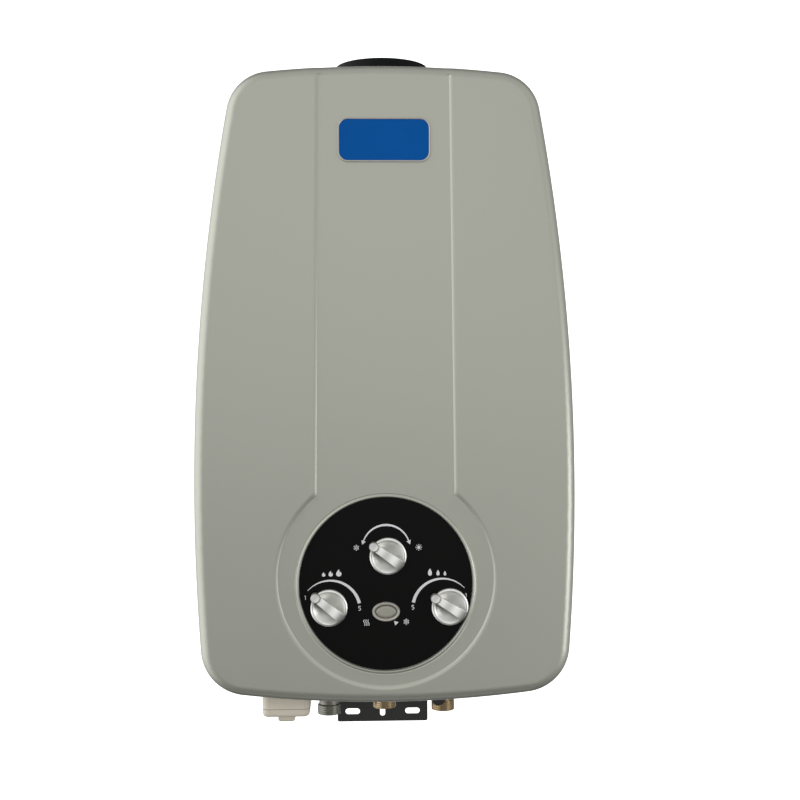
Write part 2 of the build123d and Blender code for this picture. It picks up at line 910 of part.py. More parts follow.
def fitting_locknuts():
    """The nuts that clamp the fittings under the base plate."""
    nuts = []
    for x in (gas_port_x, 0, cold_port_x):
        hexagon = RegularPolygon(locknut_flats / 2, 6, major_radius=False, rotation=30)
        nut = layer(Pos(x, fitting_depth) * hexagon, base_low - locknut_height, base_low)
        bore = rod_upright(thread_radius + running_gap, x, fitting_depth, base_low - spigot_length, base_top)
        nuts.append(nut - bore)
    return Compound(nuts)


# Heat exchanger and pipes

def pass_depths():
    """Depths of the tube passes through the fins."""
    return [jacket_middle + (step - (pass_count - 1) / 2) * pass_pitch for step in range(pass_count)]


def electrode_holes(radius):
    """Holes for the two electrodes through the front of the jacket."""
    places = ((spark_offset, spark_level), (sensor_offset, sensor_level))
    reach = electrode_plate + overrun
    return [rod_forward(radius, x, level, jacket_front - reach, jacket_front + reach) for x, level in places]


def exchanger_jacket():
    """The copper box round the flame, open above and below."""
    half = jacket_width / 2
    inner = half - jacket_wall
    jacket = block(-half, half, jacket_rear, jacket_front, jacket_low, jacket_top)
    jacket = fillet(jacket.edges().filter_by(Axis.Z), jacket_corner)
    hollow = block(
        -inner, inner, jacket_rear + jacket_wall, jacket_front - jacket_wall,
        jacket_low - overrun, jacket_top + overrun,
    )
    jacket -= fillet(hollow.edges().filter_by(Axis.Z), jacket_corner - jacket_wall)
    for depth in pass_depths():
        jacket -= rod_across(pipe_radius + hole_gap, depth, pass_level, -half - overrun, half + overrun)
    return jacket - electrode_holes(ceramic_radius + hole_gap)


def exchanger_fins():
    """The thin plates across the tube passes."""
    rear = jacket_rear + jacket_wall + slip
    front = jacket_front - jacket_wall - slip
    low_edge = pass_level - fin_height / 2
    fin = block(-fin_thickness / 2, fin_thickness / 2, rear, front, low_edge, low_edge + fin_height)
    for depth in pass_depths():
        fin -= rod_across(pipe_radius + running_gap, depth, pass_level, -overrun, overrun)
    first = -jacket_width / 2 + jacket_corner + fin_thickness
    pitch = -2 * first / (fin_count - 1)
    return Compound([Pos(first + pitch * step, 0, 0) * fin for step in range(fin_count)])


def exchanger_tubes():
    """One tube that runs to and fro through the fins."""
    turn = jacket_width / 2 + pass_reach
    depths = pass_depths()
    edges = []
    for step, depth in enumerate(depths):
        side = -1 if step % 2 == 0 else 1
        begin = -side * (tube_end if step == 0 else turn)
        last = step == pass_count - 1
        finish = side * (tube_end if last else turn)
        edges.append(Line(spot(begin, depth, pass_level), spot(finish, depth, pass_level)))
        if not last:
            crown = spot(side * (turn + pass_pitch / 2), depth + pass_pitch / 2, pass_level)
            bend_end = spot(finish, depth + pass_pitch, pass_level)
            edges.append(ThreePointArc(spot(finish, depth, pass_level), crown, bend_end))
    path = Wire(edges)
    section = Circle(pipe_radius) - Circle(pipe_radius - pipe_wall)
    return sweep(Plane(origin=path @ 0, z_dir=path % 0) * section, path=path)


def jacket_coil():
    """The cold pipe: up from the water valve, round the jacket and into the fin tubes."""
    side = jacket_width / 2 + pipe_radius + slip
    front = jacket_front + pipe_radius + slip
    rear = jacket_rear - pipe_radius - slip
    header = jacket_width / 2 + header_reach
    elbow = water_outlet_top + riser_length
    riser_depth = link_depth - riser_shift
    start = jacket_low + coil_lift
    points = [
        (water_outlet_x, link_depth, water_outlet_top),
        (water_outlet_x, link_depth, elbow),
        (side, riser_depth, elbow),
        (side, riser_depth, start),
    ]
    corners = [(side, front), (-side, front), (-side, rear), (side, rear)]
    for step in range(2 * len(corners) - 1):
        points.append((*corners[step % len(corners)], start + coil_rise * (step + 1)))
    points.append((header, rear, start + coil_rise * 2 * len(corners)))
    points.append((header, pass_depths()[0], pass_level))
    points.append((tube_end, pass_depths()[0], pass_level))
    bends = [pipe_bend] * (len(points) - 3) + [end_bend]
    return pipe(points, pipe_radius, pipe_wall, bends)


def hot_outlet_pipe():
    """The hot pipe: out of the fin tubes, down the left side and across to the outlet."""
    header = -jacket_width / 2 - header_reach
    last_pass = pass_depths()[-1]
    bend_top = jacket_low - hot_return_drop
    port = base_top + hot_block / 2
    points = [
        (-tube_end, last_pass, pass_level),
        (header, last_pass, pass_level),
        (header, last_pass, bend_top),
        (header, hot_pipe_depth, bend_top - hot_return_drop),
        (header, hot_pipe_depth, port),
        (0, hot_pipe_depth, port),
        (0, fitting_depth - hot_block / 2, port),
    ]
    return pipe(points, pipe_radius, pipe_wall, [end_bend] + [pipe_bend] * 4)


def exchanger_bracket_levels():
    """Lower edges of the two brackets behind the jacket."""
    upper = jacket_top - hood_lap - exchanger_bracket_inset - exchanger_bracket_height
    return [jacket_low + exchanger_bracket_inset, upper]


def exchanger_brackets():
    """Two Z-shaped strips between the back plate and the jacket."""
    half = exchanger_bracket_width / 2
    sheet = exchanger_bracket_sheet
    brackets = []
    for level in exchanger_bracket_levels():
        top = level + exchanger_bracket_height
        strip = block(-half, half, plate_wall, plate_wall + sheet, level, top)
        strip += block(-half, half, plate_wall, jacket_rear, level, level + sheet)
        strip += block(-half, half, jacket_rear - sheet, jacket_rear, level, top)
        brackets.append(strip - screw_holes())
    return Compound(brackets)


# Flue

def hood_form(inset, top):
    """The hood as a solid: a skirt round the jacket and a slope to a narrow top."""
    grow = 2 * (slip + hood_wall - inset)
    low_size = Rectangle(jacket_width + grow, jacket_depth + grow)
    top_size = Rectangle(hood_top_width - 2 * inset, jacket_depth + grow)
    foot = jacket_top - hood_lap - (overrun if inset else 0)
    place = Pos(0, -jacket_middle)
    skirt = extrude(Plane.XY.offset(foot) * place * low_size, amount=jacket_top - foot)
    slope = loft([Plane.XY.offset(jacket_top) * place * low_size, Plane.XY.offset(top) * place * top_size])
    return skirt + slope


def collar_screw_places():
    """Side and depth of the screws through the collar's flange."""
    middle = collar_radius + collar_flange / 2
    return [(x, jacket_middle + depth) for x, depth in around(collar_screw_count, middle, 45)]


def collar_screw_holes():
    """Holes for the collar's screws."""
    radius = collar_screw_radius + running_gap
    low_end = collar_base - collar_screw_length
    high_end = collar_base + overrun
    return [rod_upright(radius, x, depth, low_end, high_end) for x, depth in collar_screw_places()]


def flue_hood():
    """The sheet hood that gathers the burnt gas."""
    hood = hood_form(0, collar_base) - hood_form(hood_wall, hood_top)
    bore = collar_radius - collar_wall
    hood -= rod_upright(bore, 0, jacket_middle, hood_top - overrun, collar_base + overrun)
    return hood - collar_screw_holes()


def flue_collar():
    """The spigot that takes the flue pipe, with a stop bead level with the top of the case."""
    flange_top = collar_base + collar_wall
    stop = high + collar_bead_lift
    collar = rod_upright(collar_radius + collar_flange, 0, jacket_middle, collar_base, flange_top)
    collar += rod_upright(collar_radius, 0, jacket_middle, collar_base, stop + collar_stand)
    collar += rod_upright(collar_radius + collar_bead, 0, jacket_middle, stop - collar_bead_height, stop)
    bore = collar_radius - collar_wall
    collar -= rod_upright(bore, 0, jacket_middle, collar_base - overrun, stop + collar_stand + overrun)
    return collar - collar_screw_holes()


def collar_screws():
    """The screws between collar and hood."""
    seat = collar_base + collar_wall
    screws = []
    for x, depth in collar_screw_places():
        head = rod_upright(collar_screw_head_radius, x, depth, seat, seat + collar_screw_head)
        screws.append(head + rod_upright(collar_screw_radius, x, depth, seat - collar_screw_length, seat))
    return Compound(screws)


# Burner

def bar_places():
    """Sides of the burner bars."""
    return [(step - (bar_count - 1) / 2) * bar_pitch for step in range(bar_count)]


def burner_frame():
    """The open frame under the jacket that holds the burner bars and the manifold."""
    half = burner_width / 2
    inner = half - burner_sheet
    rear = burner_rear + burner_sheet
    front = burner_front - burner_sheet
    frame = block(-half, half, burner_rear, burner_front, burner_low, jacket_low)
    rim = jacket_width / 2
    frame += block(-rim, rim, jacket_rear, jacket_front, jacket_low - burner_sheet, jacket_low)
    frame -= block(-inner, inner, rear, front, burner_low - overrun, jacket_low + overrun)
    for begin in (rear + rail_inset, front - rail_inset - rail_width):
        frame += block(-half, half, begin, begin + rail_width, bar_low - rail_height, bar_low)
    for x in bar_places():
        frame -= rod_forward(air_hole_radius, x, injector_level, front - overrun, burner_front + overrun)
    for side in (-1, 1):
        x = side * (half - rail_width / 2)
        frame += block(
            x - rail_width / 2, x + rail_width / 2, front, manifold_rear,
            manifold_low, manifold_low + manifold_size,
        )
    return frame


def burner_bars():
    """Flat burner bars with a row of flame ports along their tops."""
    half = bar_thickness / 2
    rear = burner_rear + burner_sheet + bar_end_gap
    front = burner_front - burner_sheet - bar_end_gap
    bar = block(-half, half, rear, front, bar_low, bar_top)
    crown = bar.faces().sort_by(Axis.Z)[-1].edges().filter_by(Axis.Y)
    bar = fillet(crown, bar_round)
    pitch = (front - rear) / port_count
    ports = []
    for step in range(port_count):
        middle = rear + pitch * (step + 1 / 2)
        ports.append(block(
            -half / 2, half / 2, middle - port_width / 2, middle + port_width / 2,
            bar_top - port_depth, bar_top + overrun,
        ))
    bar -= block(
        bar_sheet - half, half - bar_sheet, rear + bar_sheet, front - bar_sheet,
        bar_low + bar_sheet, bar_top - bar_round,
    )
    bar -= rod_forward(injector_radius, 0, injector_level, front - overrun, front + overrun)
    bar -= ports
    return Compound([Pos(x, 0, 0) * bar for x in bar_places()])


def gas_manifold():
    """The square bar that feeds the injectors."""
    reach = bar_places()[-1] + manifold_size / 2 + manifold_edge
    front = manifold_rear + manifold_size
    bar = block(-reach, reach, manifold_rear, front, manifold_low, manifold_low + manifold_size)
    return fillet(bar.edges().filter_by(Axis.X), manifold_edge)


def gas_injectors():
    """The brass jets between the manifold and the burner bars."""
    jets = []
    seat = manifold_rear - injector_body
    for x in bar_places():
        jet = rod_forward(injector_radius, x, injector_level, seat, manifold_rear)
        jets.append(jet + rod_forward(injector_tip_radius, x, injector_level, seat - injector_tip, seat))
    return Compound(jets)


def gas_feed_pipe():
    """The pipe from the season valve up to the manifold."""
    start = valve_front - season_body_depth / 2
    elbow = (season_top + manifold_low) / 2
    points = [
        (season_x, start, season_top),
        (season_x, start, elbow),
        (season_x, manifold_middle, elbow),
        (season_x, manifold_middle, manifold_low),
    ]
    return pipe(points, feed_radius, pipe_wall, pipe_bend)


# Electrodes

def electrode_bracket():
    """The small plate that holds both electrodes to the jacket."""
    plate = block(
        spark_offset - electrode_plate_margin, sensor_offset + electrode_plate_margin,
        jacket_front, jacket_front + electrode_plate,
        sensor_level - sensor_lift, spark_level + electrode_plate_margin,
    )
    return plate - electrode_holes(ceramic_radius + running_gap)


def electrode_ceramic(x, level):
    """A ceramic sleeve with a collar that seats on the bracket."""
    seat = jacket_front + electrode_plate
    sleeve = rod_forward(ceramic_radius, x, level, jacket_front - ceramic_inside, ceramic_front)
    return sleeve + rod_forward(ceramic_collar_radius, x, level, seat, seat + ceramic_collar)


def electrode_ceramics():
    """The ceramics of the spark electrode and the flame sensor."""
    places = ((spark_offset, spark_level), (sensor_offset, sensor_level))
    return Compound([electrode_ceramic(x, level) for x, level in places])


def electrode_rods():
    """The wires that stand out of the ceramics over the burner."""
    root = jacket_front - ceramic_inside
    places = ((spark_offset, spark_level), (sensor_offset, sensor_level))
    return Compound([rod_forward(rod_radius, x, level, root - rod_length, root) for x, level in places])


# Gas side valves

def valve_bracket():
    """The bridge on the back plate that carries the valves."""
    bottom = control_level - valve_plate_height / 2
    top = control_level + valve_plate_height / 2
    half = valve_plate_half
    bridge = block(-half, half, valve_stand, valve_rear, bottom, top)
    for side in (-1, 1):
        leg = block(half - valve_leg, half, plate_wall, valve_rear, bottom, top)
        leg += block(half - valve_leg, half + valve_foot, plate_wall, plate_wall + valve_leg, bottom, top)
        bridge += leg if side > 0 else mirror(leg, about=Plane.YZ)
    return bridge - screw_holes()


def valve_socket(x):
    """The bore that takes the stub of a fitting."""
    seat = base_top + shoulder
    radius = stub_radius + running_gap
    return rod_upright(radius, x, fitting_depth, seat - overrun, seat + stub_length + slip)


def link_bore(x0, x1):
    """The running bore of the linkage rod."""
    return rod_across(link_radius + running_gap, link_depth, control_level, x0, x1)


def gas_valve_body():
    """The gas valve casting, with its inlet neck and the boss of the gas shaft."""
    bottom = control_level - gas_body_below
    top = control_level + gas_body_above
    body = block(gas_left, gas_right, valve_rear, valve_front, bottom, top)
    body = fillet(body.faces().sort_by(Axis.Y)[0].edges(), valve_edge)
    body += rod_forward(boss_radius, gas_x, control_level, valve_front - overrun, boss_front)
    body += rod_upright(shoulder_radius, gas_port_x, fitting_depth, base_top + shoulder, bottom + overrun)
    body -= shaft_bore(gas_x, control_level)
    body -= valve_socket(gas_port_x)
    body -= link_bore(gas_right - link_insert - link_travel - link_spare, gas_right + overrun)
    recess_end = gas_left + plunger_insert + slip
    return body - plunger_line(plunger_radius + running_gap, gas_left - overrun, recess_end)


def season_valve_body():
    """The small casting that opens one or both halves of the burner."""
    rear = valve_front - season_body_depth
    body = block(gas_right, season_right, rear, valve_front, season_level - season_body_below, season_top)
    body += rod_forward(boss_radius, season_x, season_level, valve_front, boss_front)
    return body - shaft_bore(season_x, season_level)


def plunger_line(radius, x0, x1):
    """A cylinder on the axis of the solenoid."""
    return rod_across(radius, link_depth, solenoid_level, x0, x1)


def solenoid_can():
    """The coil housing on the side of the gas valve."""
    bore = plunger_line(plunger_radius + running_gap, solenoid_left + solenoid_wall, gas_left + overrun)
    return plunger_line(solenoid_radius, solenoid_left, gas_left) - bore


def solenoid_plunger():
    """The plunger that lifts the safety valve."""
    return plunger_line(plunger_radius, plunger_left, plunger_left + plunger_length)


# Water side valve and linkage

def valve_axis(radius, x0, x1):
    """A cylinder on the axis of the water valve."""
    return rod_across(radius, link_depth, control_level, x0, x1)


def bolt_places():
    """Depth and level of the bolts round the water valve."""
    return [(link_depth + depth, control_level + rise) for depth, rise in around(bolt_count, bolt_circle)]


def bolt_holes():
    """Holes for the bolts of the water valve."""
    radius = bolt_radius + running_gap
    far = water_left + bolt_grip + slip
    near = water_cover_left - overrun
    return [rod_across(radius, depth, level, near, far) for depth, level in bolt_places()]


def water_valve_body():
    """The water valve casting, with its inlet neck, outlet and the boss of the water shaft."""
    foot_half = water_foot_height / 2
    body = valve_axis(water_radius, water_left, water_right)
    body += block(
        water_left, water_right, valve_rear, link_depth,
        control_level - foot_half, control_level + foot_half,
    )
    body += rod_upright(shoulder_radius, cold_port_x, fitting_depth, base_top + shoulder, control_level)
    body += rod_upright(neck_radius, water_outlet_x, link_depth, control_level, water_outlet_top)
    body += rod_forward(boss_radius, water_x, control_level, link_depth, boss_front)
    body -= rod_upright(
        pipe_radius - pipe_wall, water_outlet_x, link_depth,
        water_outlet_top - stub_length, water_outlet_top + overrun,
    )
    body -= shaft_bore(water_x, control_level)
    body -= valve_socket(cold_port_x)
    return body - bolt_holes()


def diaphragm():
    """The rubber disc between the halves of the water valve."""
    return valve_axis(water_radius, diaphragm_left, water_left) - bolt_holes()


def water_valve_cover():
    """The outer half of the water valve, with the guide of the linkage rod."""
    cover = valve_axis(water_radius, water_cover_left, diaphragm_left)
    cover += valve_axis(water_neck_radius, water_cover_left - water_neck_length, water_cover_left)
    cover -= valve_axis(water_chamber_radius, water_cover_left + water_cover_wall, diaphragm_left + overrun)
    cover -= link_bore(water_cover_left - water_neck_length - overrun, diaphragm_left)
    return cover - bolt_holes()


def water_valve_bolts():
    """The bolts that clamp the water valve together."""
    bolts = []
    for depth, level in bolt_places():
        head = rod_across(bolt_head_radius, depth, level, water_cover_left - bolt_head, water_cover_left)
        bolts.append(head + rod_across(bolt_radius, depth, level, water_cover_left, water_left + bolt_grip))
    return Compound(bolts)


def linkage_rod():
    """The rod that the diaphragm pushes to open the gas valve."""
    right = diaphragm_left - slip
    rod = valve_axis(link_radius, gas_right - link_insert, right)
    rod += valve_axis(link_plate_radius, right - link_plate, right)
    return rod + valve_axis(link_collar_radius, link_collar_left, link_collar_left + link_collar)


# Microswitch

def lever_line(radius, x, level, width):
    """A cylinder along the depth, centred on the linkage."""
    return rod_forward(radius, x, level, link_depth - width / 2, link_depth + width / 2)


def microswitch_lever():
    """The lever that the collar of the linkage rod pushes."""
    half = lever_width / 2
    thin = lever_thickness / 2
    near = link_depth - half
    far = link_depth + half
    lever = block(lever_x - thin, lever_x + thin, near, far, lever_level, lever_tip_level + lever_tip_radius)
    lever += block(lever_x, lever_tip_x, near, far, lever_tip_level - thin, lever_tip_level + thin)
    lever += lever_line(lever_tip_radius, lever_tip_x, lever_tip_level, lever_width)
    return lever + lever_line(lever_pin_radius, lever_x, lever_level, switch_depth)


def microswitch_body():
    """The switch under the linkage, with two ears for its lever and a foot on the valve bracket."""
    top = lever_level - switch_gap
    bottom = top - switch_height
    near = link_depth - switch_depth / 2
    far = link_depth + switch_depth / 2
    left = lever_x - switch_width / 2
    body = block(left, lever_x + switch_width / 2, near, far, bottom, top)
    for begin in (near, far - switch_ear):
        body += block(
            lever_x - switch_ear_half, lever_x + switch_ear_half, begin, begin + switch_ear,
            top, lever_level + switch_ear_half,
        )
    body += block(left, left + switch_foot_width, valve_rear, near, bottom, lever_level + switch_foot_rise)
    return body - lever_line(lever_pin_radius + running_gap, lever_x, lever_level, switch_depth + overrun)


# Igniter and leads

def igniter_box():
    """The spark generator on the back plate."""
    body = block(
        igniter_left, igniter_right, plate_wall, plate_wall + igniter_depth,
        igniter_low, igniter_low + igniter_height,
    )
    return fillet(body.edges().filter_by(Axis.Y) + body.faces().sort_by(Axis.Y)[0].edges(), igniter_edge)


def ignition_lead(x, level, side, electrode_level):
    """A lead from the front of the igniter up and across to an electrode."""
    points = [
        (side, plate_wall + igniter_depth, level),
        (side, lead_depth, level),
        (side, lead_depth, electrode_level),
        (x, lead_depth, electrode_level),
        (x, ceramic_front, electrode_level),
    ]
    return pipe(points, lead_radius, 0, [lead_bend, lead_bend, lead_end_bend])


def spark_lead():
    """The lead of the spark electrode."""
    side = igniter_right - lead_pitch
    return ignition_lead(spark_offset, igniter_low + igniter_height - 2 * lead_pitch, side, spark_level)


def sensor_lead():
    """The lead of the flame sensor."""
    side = igniter_right - 2 * lead_pitch
    return ignition_lead(sensor_offset, igniter_low + igniter_height - 3 * lead_pitch, side, sensor_level)


def battery_lead():
    """The lead from the battery box along the back plate to the igniter."""
    level = box_top - lead_pitch
    end = igniter_left + lead_pitch
    depth = plate_wall + igniter_depth - lead_pitch
    points = [
        (box_x, box_rear, level),
        (box_x, depth, level),
        (end, depth, level),
        (end, depth, igniter_low),
    ]
    return pipe(points, lead_radius, 0, [lead_end_bend, lead_bend])


def switch_lead():
    """The lead from the microswitch along the back plate to the igniter."""
    level = lever_level - switch_gap - switch_height / 2
    end = igniter_left + 2 * lead_pitch
    depth = plate_wall + igniter_depth - 2 * lead_pitch
    x = lever_x + switch_width / 4
    points = [
        (x, link_depth - switch_depth / 2, level),
        (x, depth, level),
        (end, depth, level),
        (end, depth, igniter_low),
    ]
    return pipe(points, lead_radius, 0, lead_bend)


def solenoid_lead():
    """The lead from the solenoid round the valves to the igniter."""
    end = igniter_left + 3 * lead_pitch
    depth = plate_wall + lead_pitch
    level = igniter_low - lead_pitch
    points = [
        (solenoid_left, link_depth, solenoid_level),
        (solenoid_left - lead_pitch, link_depth, solenoid_level),
        (solenoid_left - lead_pitch, depth, level),
        (end, depth, level),
        (end, depth, igniter_low),
    ]
    return pipe(points, lead_radius, 0, [lead_end_bend, lead_bend, lead_end_bend])


def leads():
    """All leads, each whole from end to end."""
    return Compound([spark_lead(), sensor_lead(), battery_lead(), switch_lead(), solenoid_lead()])


# Battery box

def knuckle(x0, x1, web_low, web_top):
    """A hinge knuckle with a web that joins it to the box or the lid."""
    barrel = rod_across(knuckle_radius, hinge_depth, box_seam, x0, x1)
    web = block(x0, x1, hinge_depth, box_rear + box_wall / 2, web_low, web_top)
    bore = rod_across(hinge_pin_radius + running_gap, hinge_depth, box_seam, x0 - overrun, x1 + overrun)
    return barrel + web - bore


def battery_box():
    """The moulded box for two cells, open below, hung from its rim in the base plate."""
    body = layer(box_outline(), box_seam, box_top)
    rim = layer(box_outline(box_rim), base_top, base_top + box_rim_height)
    body += rim
    body -= layer(box_outline(-box_wall), box_seam - overrun, box_top - box_wall)
    near = knuckle_length / 2 + knuckle_gap
    far = near + knuckle_length
    for x0, x1 in ((-far, -near), (near, far)):
        body += knuckle(box_x + x0, box_x + x1, box_seam, box_seam + knuckle_radius)
    return body


def battery_lid():
    """The lid below the battery box, with its finger tab and its hinge knuckle."""
    lid = layer(box_outline(), lid_low, lid_top)
    lid = fillet(lid.faces().sort_by(Axis.Z)[0].edges(), lid_round)
    lid -= layer(box_outline(-box_wall), lid_low + box_wall, lid_top + overrun)
    tab_front = box_front - tab_setback
    tab = block(
        box_x - tab_width / 2, box_x + tab_width / 2, tab_front - tab_depth, tab_front,
        lid_low - tab_height, lid_low + box_wall,
    )
    lid += chamfer(tab.faces().sort_by(Axis.Z)[0].edges(), tab_height / 4)
    half = knuckle_length / 2
    return lid + knuckle(box_x - half, box_x + half, box_seam - knuckle_radius, lid_top)


def battery_lid_pin():
    """The pin of the lid's hinge."""
    reach = 3 * knuckle_length / 2 + knuckle_gap
    return rod_across(hinge_pin_radius, hinge_depth, box_seam, box_x - reach, box_x + reach)


def cell_places():
    """Depths of the two cells."""
    return [box_middle - cell_pitch / 2, box_middle + cell_pitch / 2]


def battery_cells():
    """Two large round cells, standing one behind the other."""
    crown = box_top - box_wall - contact_sheet
    neck = crown - nub_height
    cells = []
    for depth in cell_places():
        can = rod_upright(cell_radius, box_x, depth, neck - cell_height, neck)
        can = fillet(can.edges().filter_by(GeomType.CIRCLE), nub_height / 3)
        cells.append(can + rod_upright(nub_radius, box_x, depth, neck, crown))
    return Compound(cells)


def battery_contacts():
    """The plates above the cells."""
    top = box_top - box_wall
    half = contact_size / 2
    return Compound([
        block(box_x - half, box_x + half, depth - half, depth + half, top - contact_sheet, top)
        for depth in cell_places()
    ])


def lid_springs():
    """Leaf springs in the lid that press the cells upwards."""
    floor = lid_low + box_wall
    crown = box_top - box_wall - contact_sheet - nub_height - cell_height - slip
    inner_half = spring_half - contact_sheet
    leaf = make_face([
        ThreePointArc((-spring_half, floor), (0, crown), (spring_half, floor)),
        Line((spring_half, floor), (inner_half, floor)),
        ThreePointArc((inner_half, floor), (0, crown - contact_sheet), (-inner_half, floor)),
        Line((-inner_half, floor), (-spring_half, floor)),
    ])
    return Compound([
        slab(Pos(box_x, 0) * leaf, depth - spring_width / 2, depth + spring_width / 2)
        for depth in cell_places()
    ])


pieces = {
    "front_cover": front_cover,
    "badge_plate": badge_plate,
    "back_plate": back_plate,
    "chassis_screws": chassis_screws,
    "cover_screws": cover_screws,
    "hanger_plate": hanger_plate,
    "lower_wall_bracket": lower_wall_bracket,
    "control_panel": control_panel,
    "panel_screws": panel_screws,
    "sight_bezel": sight_bezel,
    "sight_lens": sight_lens,
    "season_knob": lambda: knob(season_x, season_level, season_rest),
    "gas_knob": lambda: knob(gas_x, control_level, gas_rest),
    "water_knob": lambda: knob(water_x, control_level, water_rest),
    "season_shaft": lambda: shaft(season_x, season_level, season_rest),
    "gas_shaft": lambda: shaft(gas_x, control_level, gas_rest),
    "water_shaft": lambda: shaft(water_x, control_level, water_rest),
    "base_plate": base_plate,
    "gas_inlet_fitting": gas_inlet_fitting,
    "hot_outlet_fitting": hot_outlet_fitting,
    "cold_inlet_fitting": cold_inlet_fitting,
    "drain_plug": drain_plug,
    "fitting_locknuts": fitting_locknuts,
    "exchanger_jacket": exchanger_jacket,
    "exchanger_fins": exchanger_fins,
    "exchanger_tubes": exchanger_tubes,
    "jacket_coil": jacket_coil,
    "hot_outlet_pipe": hot_outlet_pipe,
    "exchanger_brackets": exchanger_brackets,
    "flue_hood": flue_hood,
    "flue_collar": flue_collar,
    "collar_screws": collar_screws,
    "burner_frame": burner_frame,
    "burner_bars": burner_bars,
    "gas_manifold": gas_manifold,
    "gas_injectors": gas_injectors,
    "gas_feed_pipe": gas_feed_pipe,
    "electrode_bracket": electrode_bracket,
    "electrode_ceramics": electrode_ceramics,
    "electrode_rods": electrode_rods,
    "valve_bracket": valve_bracket,
    "gas_valve_body": gas_valve_body,
    "season_valve_body": season_valve_body,
    "solenoid_can": solenoid_can,
    "solenoid_plunger": solenoid_plunger,
    "water_valve_body": water_valve_body,
    "diaphragm": diaphragm,
    "water_valve_cover": water_valve_cover,
    "water_valve_bolts": water_valve_bolts,
    "linkage_rod": linkage_rod,
    "microswitch_body": microswitch_body,
    "microswitch_lever": microswitch_lever,
    "igniter_box": igniter_box,
    "leads": leads,
    "battery_box": battery_box,
    "battery_lid": battery_lid,
    "battery_lid_pin": battery_lid_pin,
    "battery_cells": battery_cells,
    "battery_contacts": battery_contacts,
    "lid_springs": lid_springs,
}

os.makedirs("parts", exist_ok=True)
for name, make in pieces.items():
    export_step(make(), f"parts/{name}.step")
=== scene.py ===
"""Looks of a wall-hung instant gas water heater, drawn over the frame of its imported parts."""
import json
import math

import bmesh
import bpy
from mathutils import Matrix, Vector
from mathutils.geometry import delaunay_2d_cdt


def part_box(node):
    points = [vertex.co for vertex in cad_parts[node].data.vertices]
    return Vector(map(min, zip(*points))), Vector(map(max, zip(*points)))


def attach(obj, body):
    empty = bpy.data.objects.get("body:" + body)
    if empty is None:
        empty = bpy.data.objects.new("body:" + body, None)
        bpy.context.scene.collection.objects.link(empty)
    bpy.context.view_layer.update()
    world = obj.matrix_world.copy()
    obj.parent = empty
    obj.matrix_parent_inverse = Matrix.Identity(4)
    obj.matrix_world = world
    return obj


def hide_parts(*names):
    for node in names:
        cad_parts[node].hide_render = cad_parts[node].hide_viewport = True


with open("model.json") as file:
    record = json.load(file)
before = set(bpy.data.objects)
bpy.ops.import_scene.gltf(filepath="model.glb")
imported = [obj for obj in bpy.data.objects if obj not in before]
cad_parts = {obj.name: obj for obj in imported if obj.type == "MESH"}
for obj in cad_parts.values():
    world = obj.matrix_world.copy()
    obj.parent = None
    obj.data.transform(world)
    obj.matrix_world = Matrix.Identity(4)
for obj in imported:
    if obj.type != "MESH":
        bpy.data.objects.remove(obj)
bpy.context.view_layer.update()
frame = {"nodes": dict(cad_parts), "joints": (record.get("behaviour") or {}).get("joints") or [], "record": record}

# Cover outline, seen from the front, in metres
case_width = 0.330
case_height = 0.550
widest_level = -0.093
side_bow = 1.85
top_bow = 0.99
bottom_bow = 1.05
top_corner = 0.039
bottom_corner = 0.041

# Cover face and its pressed panel
face_depth = 0.165
edge_round = 0.0095
panel_sink = 0.0013
crease_width = 0.004
crease_inner_share = 0.35
panel_top_half = 0.0571
panel_low_half = 0.0611
ring_radius = 0.0942
ring_level = -0.1665
sheet = 0.001
cover_rear = 0.004

# Dial opening and the bead round it, as steps out from the opening and up from the pressed panel
dial_level = -0.1717
dial_radius = 0.0748
panel_front = 0.160
bead_reach = 0.0036
bead_steps = ((0.0033, -0.0002), (0.0030, -0.0003), (0.0027, -0.00025), (0.0020, 0.0001), (0.0015, 0.0003),
              (0.0011, 0.00036), (0.0008, 0.00026), (0.0005, -0.0001), (0.0002, -0.0006), (0, -0.0014),
              (0, -0.0043))

# Notches in the cover's top and bottom walls
flue_depth = 0.080
flue_notch_radius = 0.0455
low_notch_left = -0.1125
low_notch_right = 0.071
low_notch_depth = 0.1415
notch_reach = 0.04

# Knobs: pointer angle at rest, then skirt and nub outlines as radius and height, and the bar between them
knob_angles = {"season": math.radians(145), "gas": math.radians(141), "water": math.radians(148)}
knob_back = 0.1608
knob_radius = 0.016
skirt_outline = ((0.0152, 0), (0.0159, 0.0004), (knob_radius, 0.0034), (0.0157, 0.0043), (0.0149, 0.0049),
                 (0.0140, 0.0050), (0.0132, 0.0047), (0.0124, 0.0041), (0.0112, 0.0033), (0.0096, 0.0025),
                 (0.0076, 0.0018), (0.0050, 0.0013), (0.0025, 0.0011), (0.0004, 0.0010))
bar_root_half = 0.003
bar_tail_half = 0.0043
bar_crest = 0.0092
bar_shoulder = 0.0080
bar_end = 0.0034
bar_floor = 0.0006
bar_fall_share = 0.24
bar_round = 0.0007
bar_rows = 28
# Painted highlight bands across each knob's bar: where the first lies out along the bar, and how far apart they
# are
highlight_band_place = 0.0086
highlight_band_spacing = 0.0138
nub_reach = 0.015
nub_radius = 0.0041
# Width of the ring of painted shadow round each knob's nub
nub_shadow_width = 0.0012
nub_outline = ((0.0036, 0.0024), (nub_radius, 0.0028), (nub_radius, 0.0099), (0.0039, 0.0105),
               (0.0034, 0.0108), (0.0026, 0.0107), (0.0004, 0.0107))

# Sight window: bezel and lens outlines as steps in from the bezel's edge and up from the control panel
bezel_outline = ((0, 0), (0, 0.0014), (0.0003, 0.0021), (0.0009, 0.0026), (0.0016, 0.0025),
                 (0.0022, 0.0019), (0.0026, 0.0010), (0.0029, 0.0004), (0.0029, 0))
lens_outline = ((0.0032, 0), (0.0032, 0.0008), (0.0037, 0.0014), (0.0044, 0.0018), (0.0052, 0.0020))
oval_segments = 96

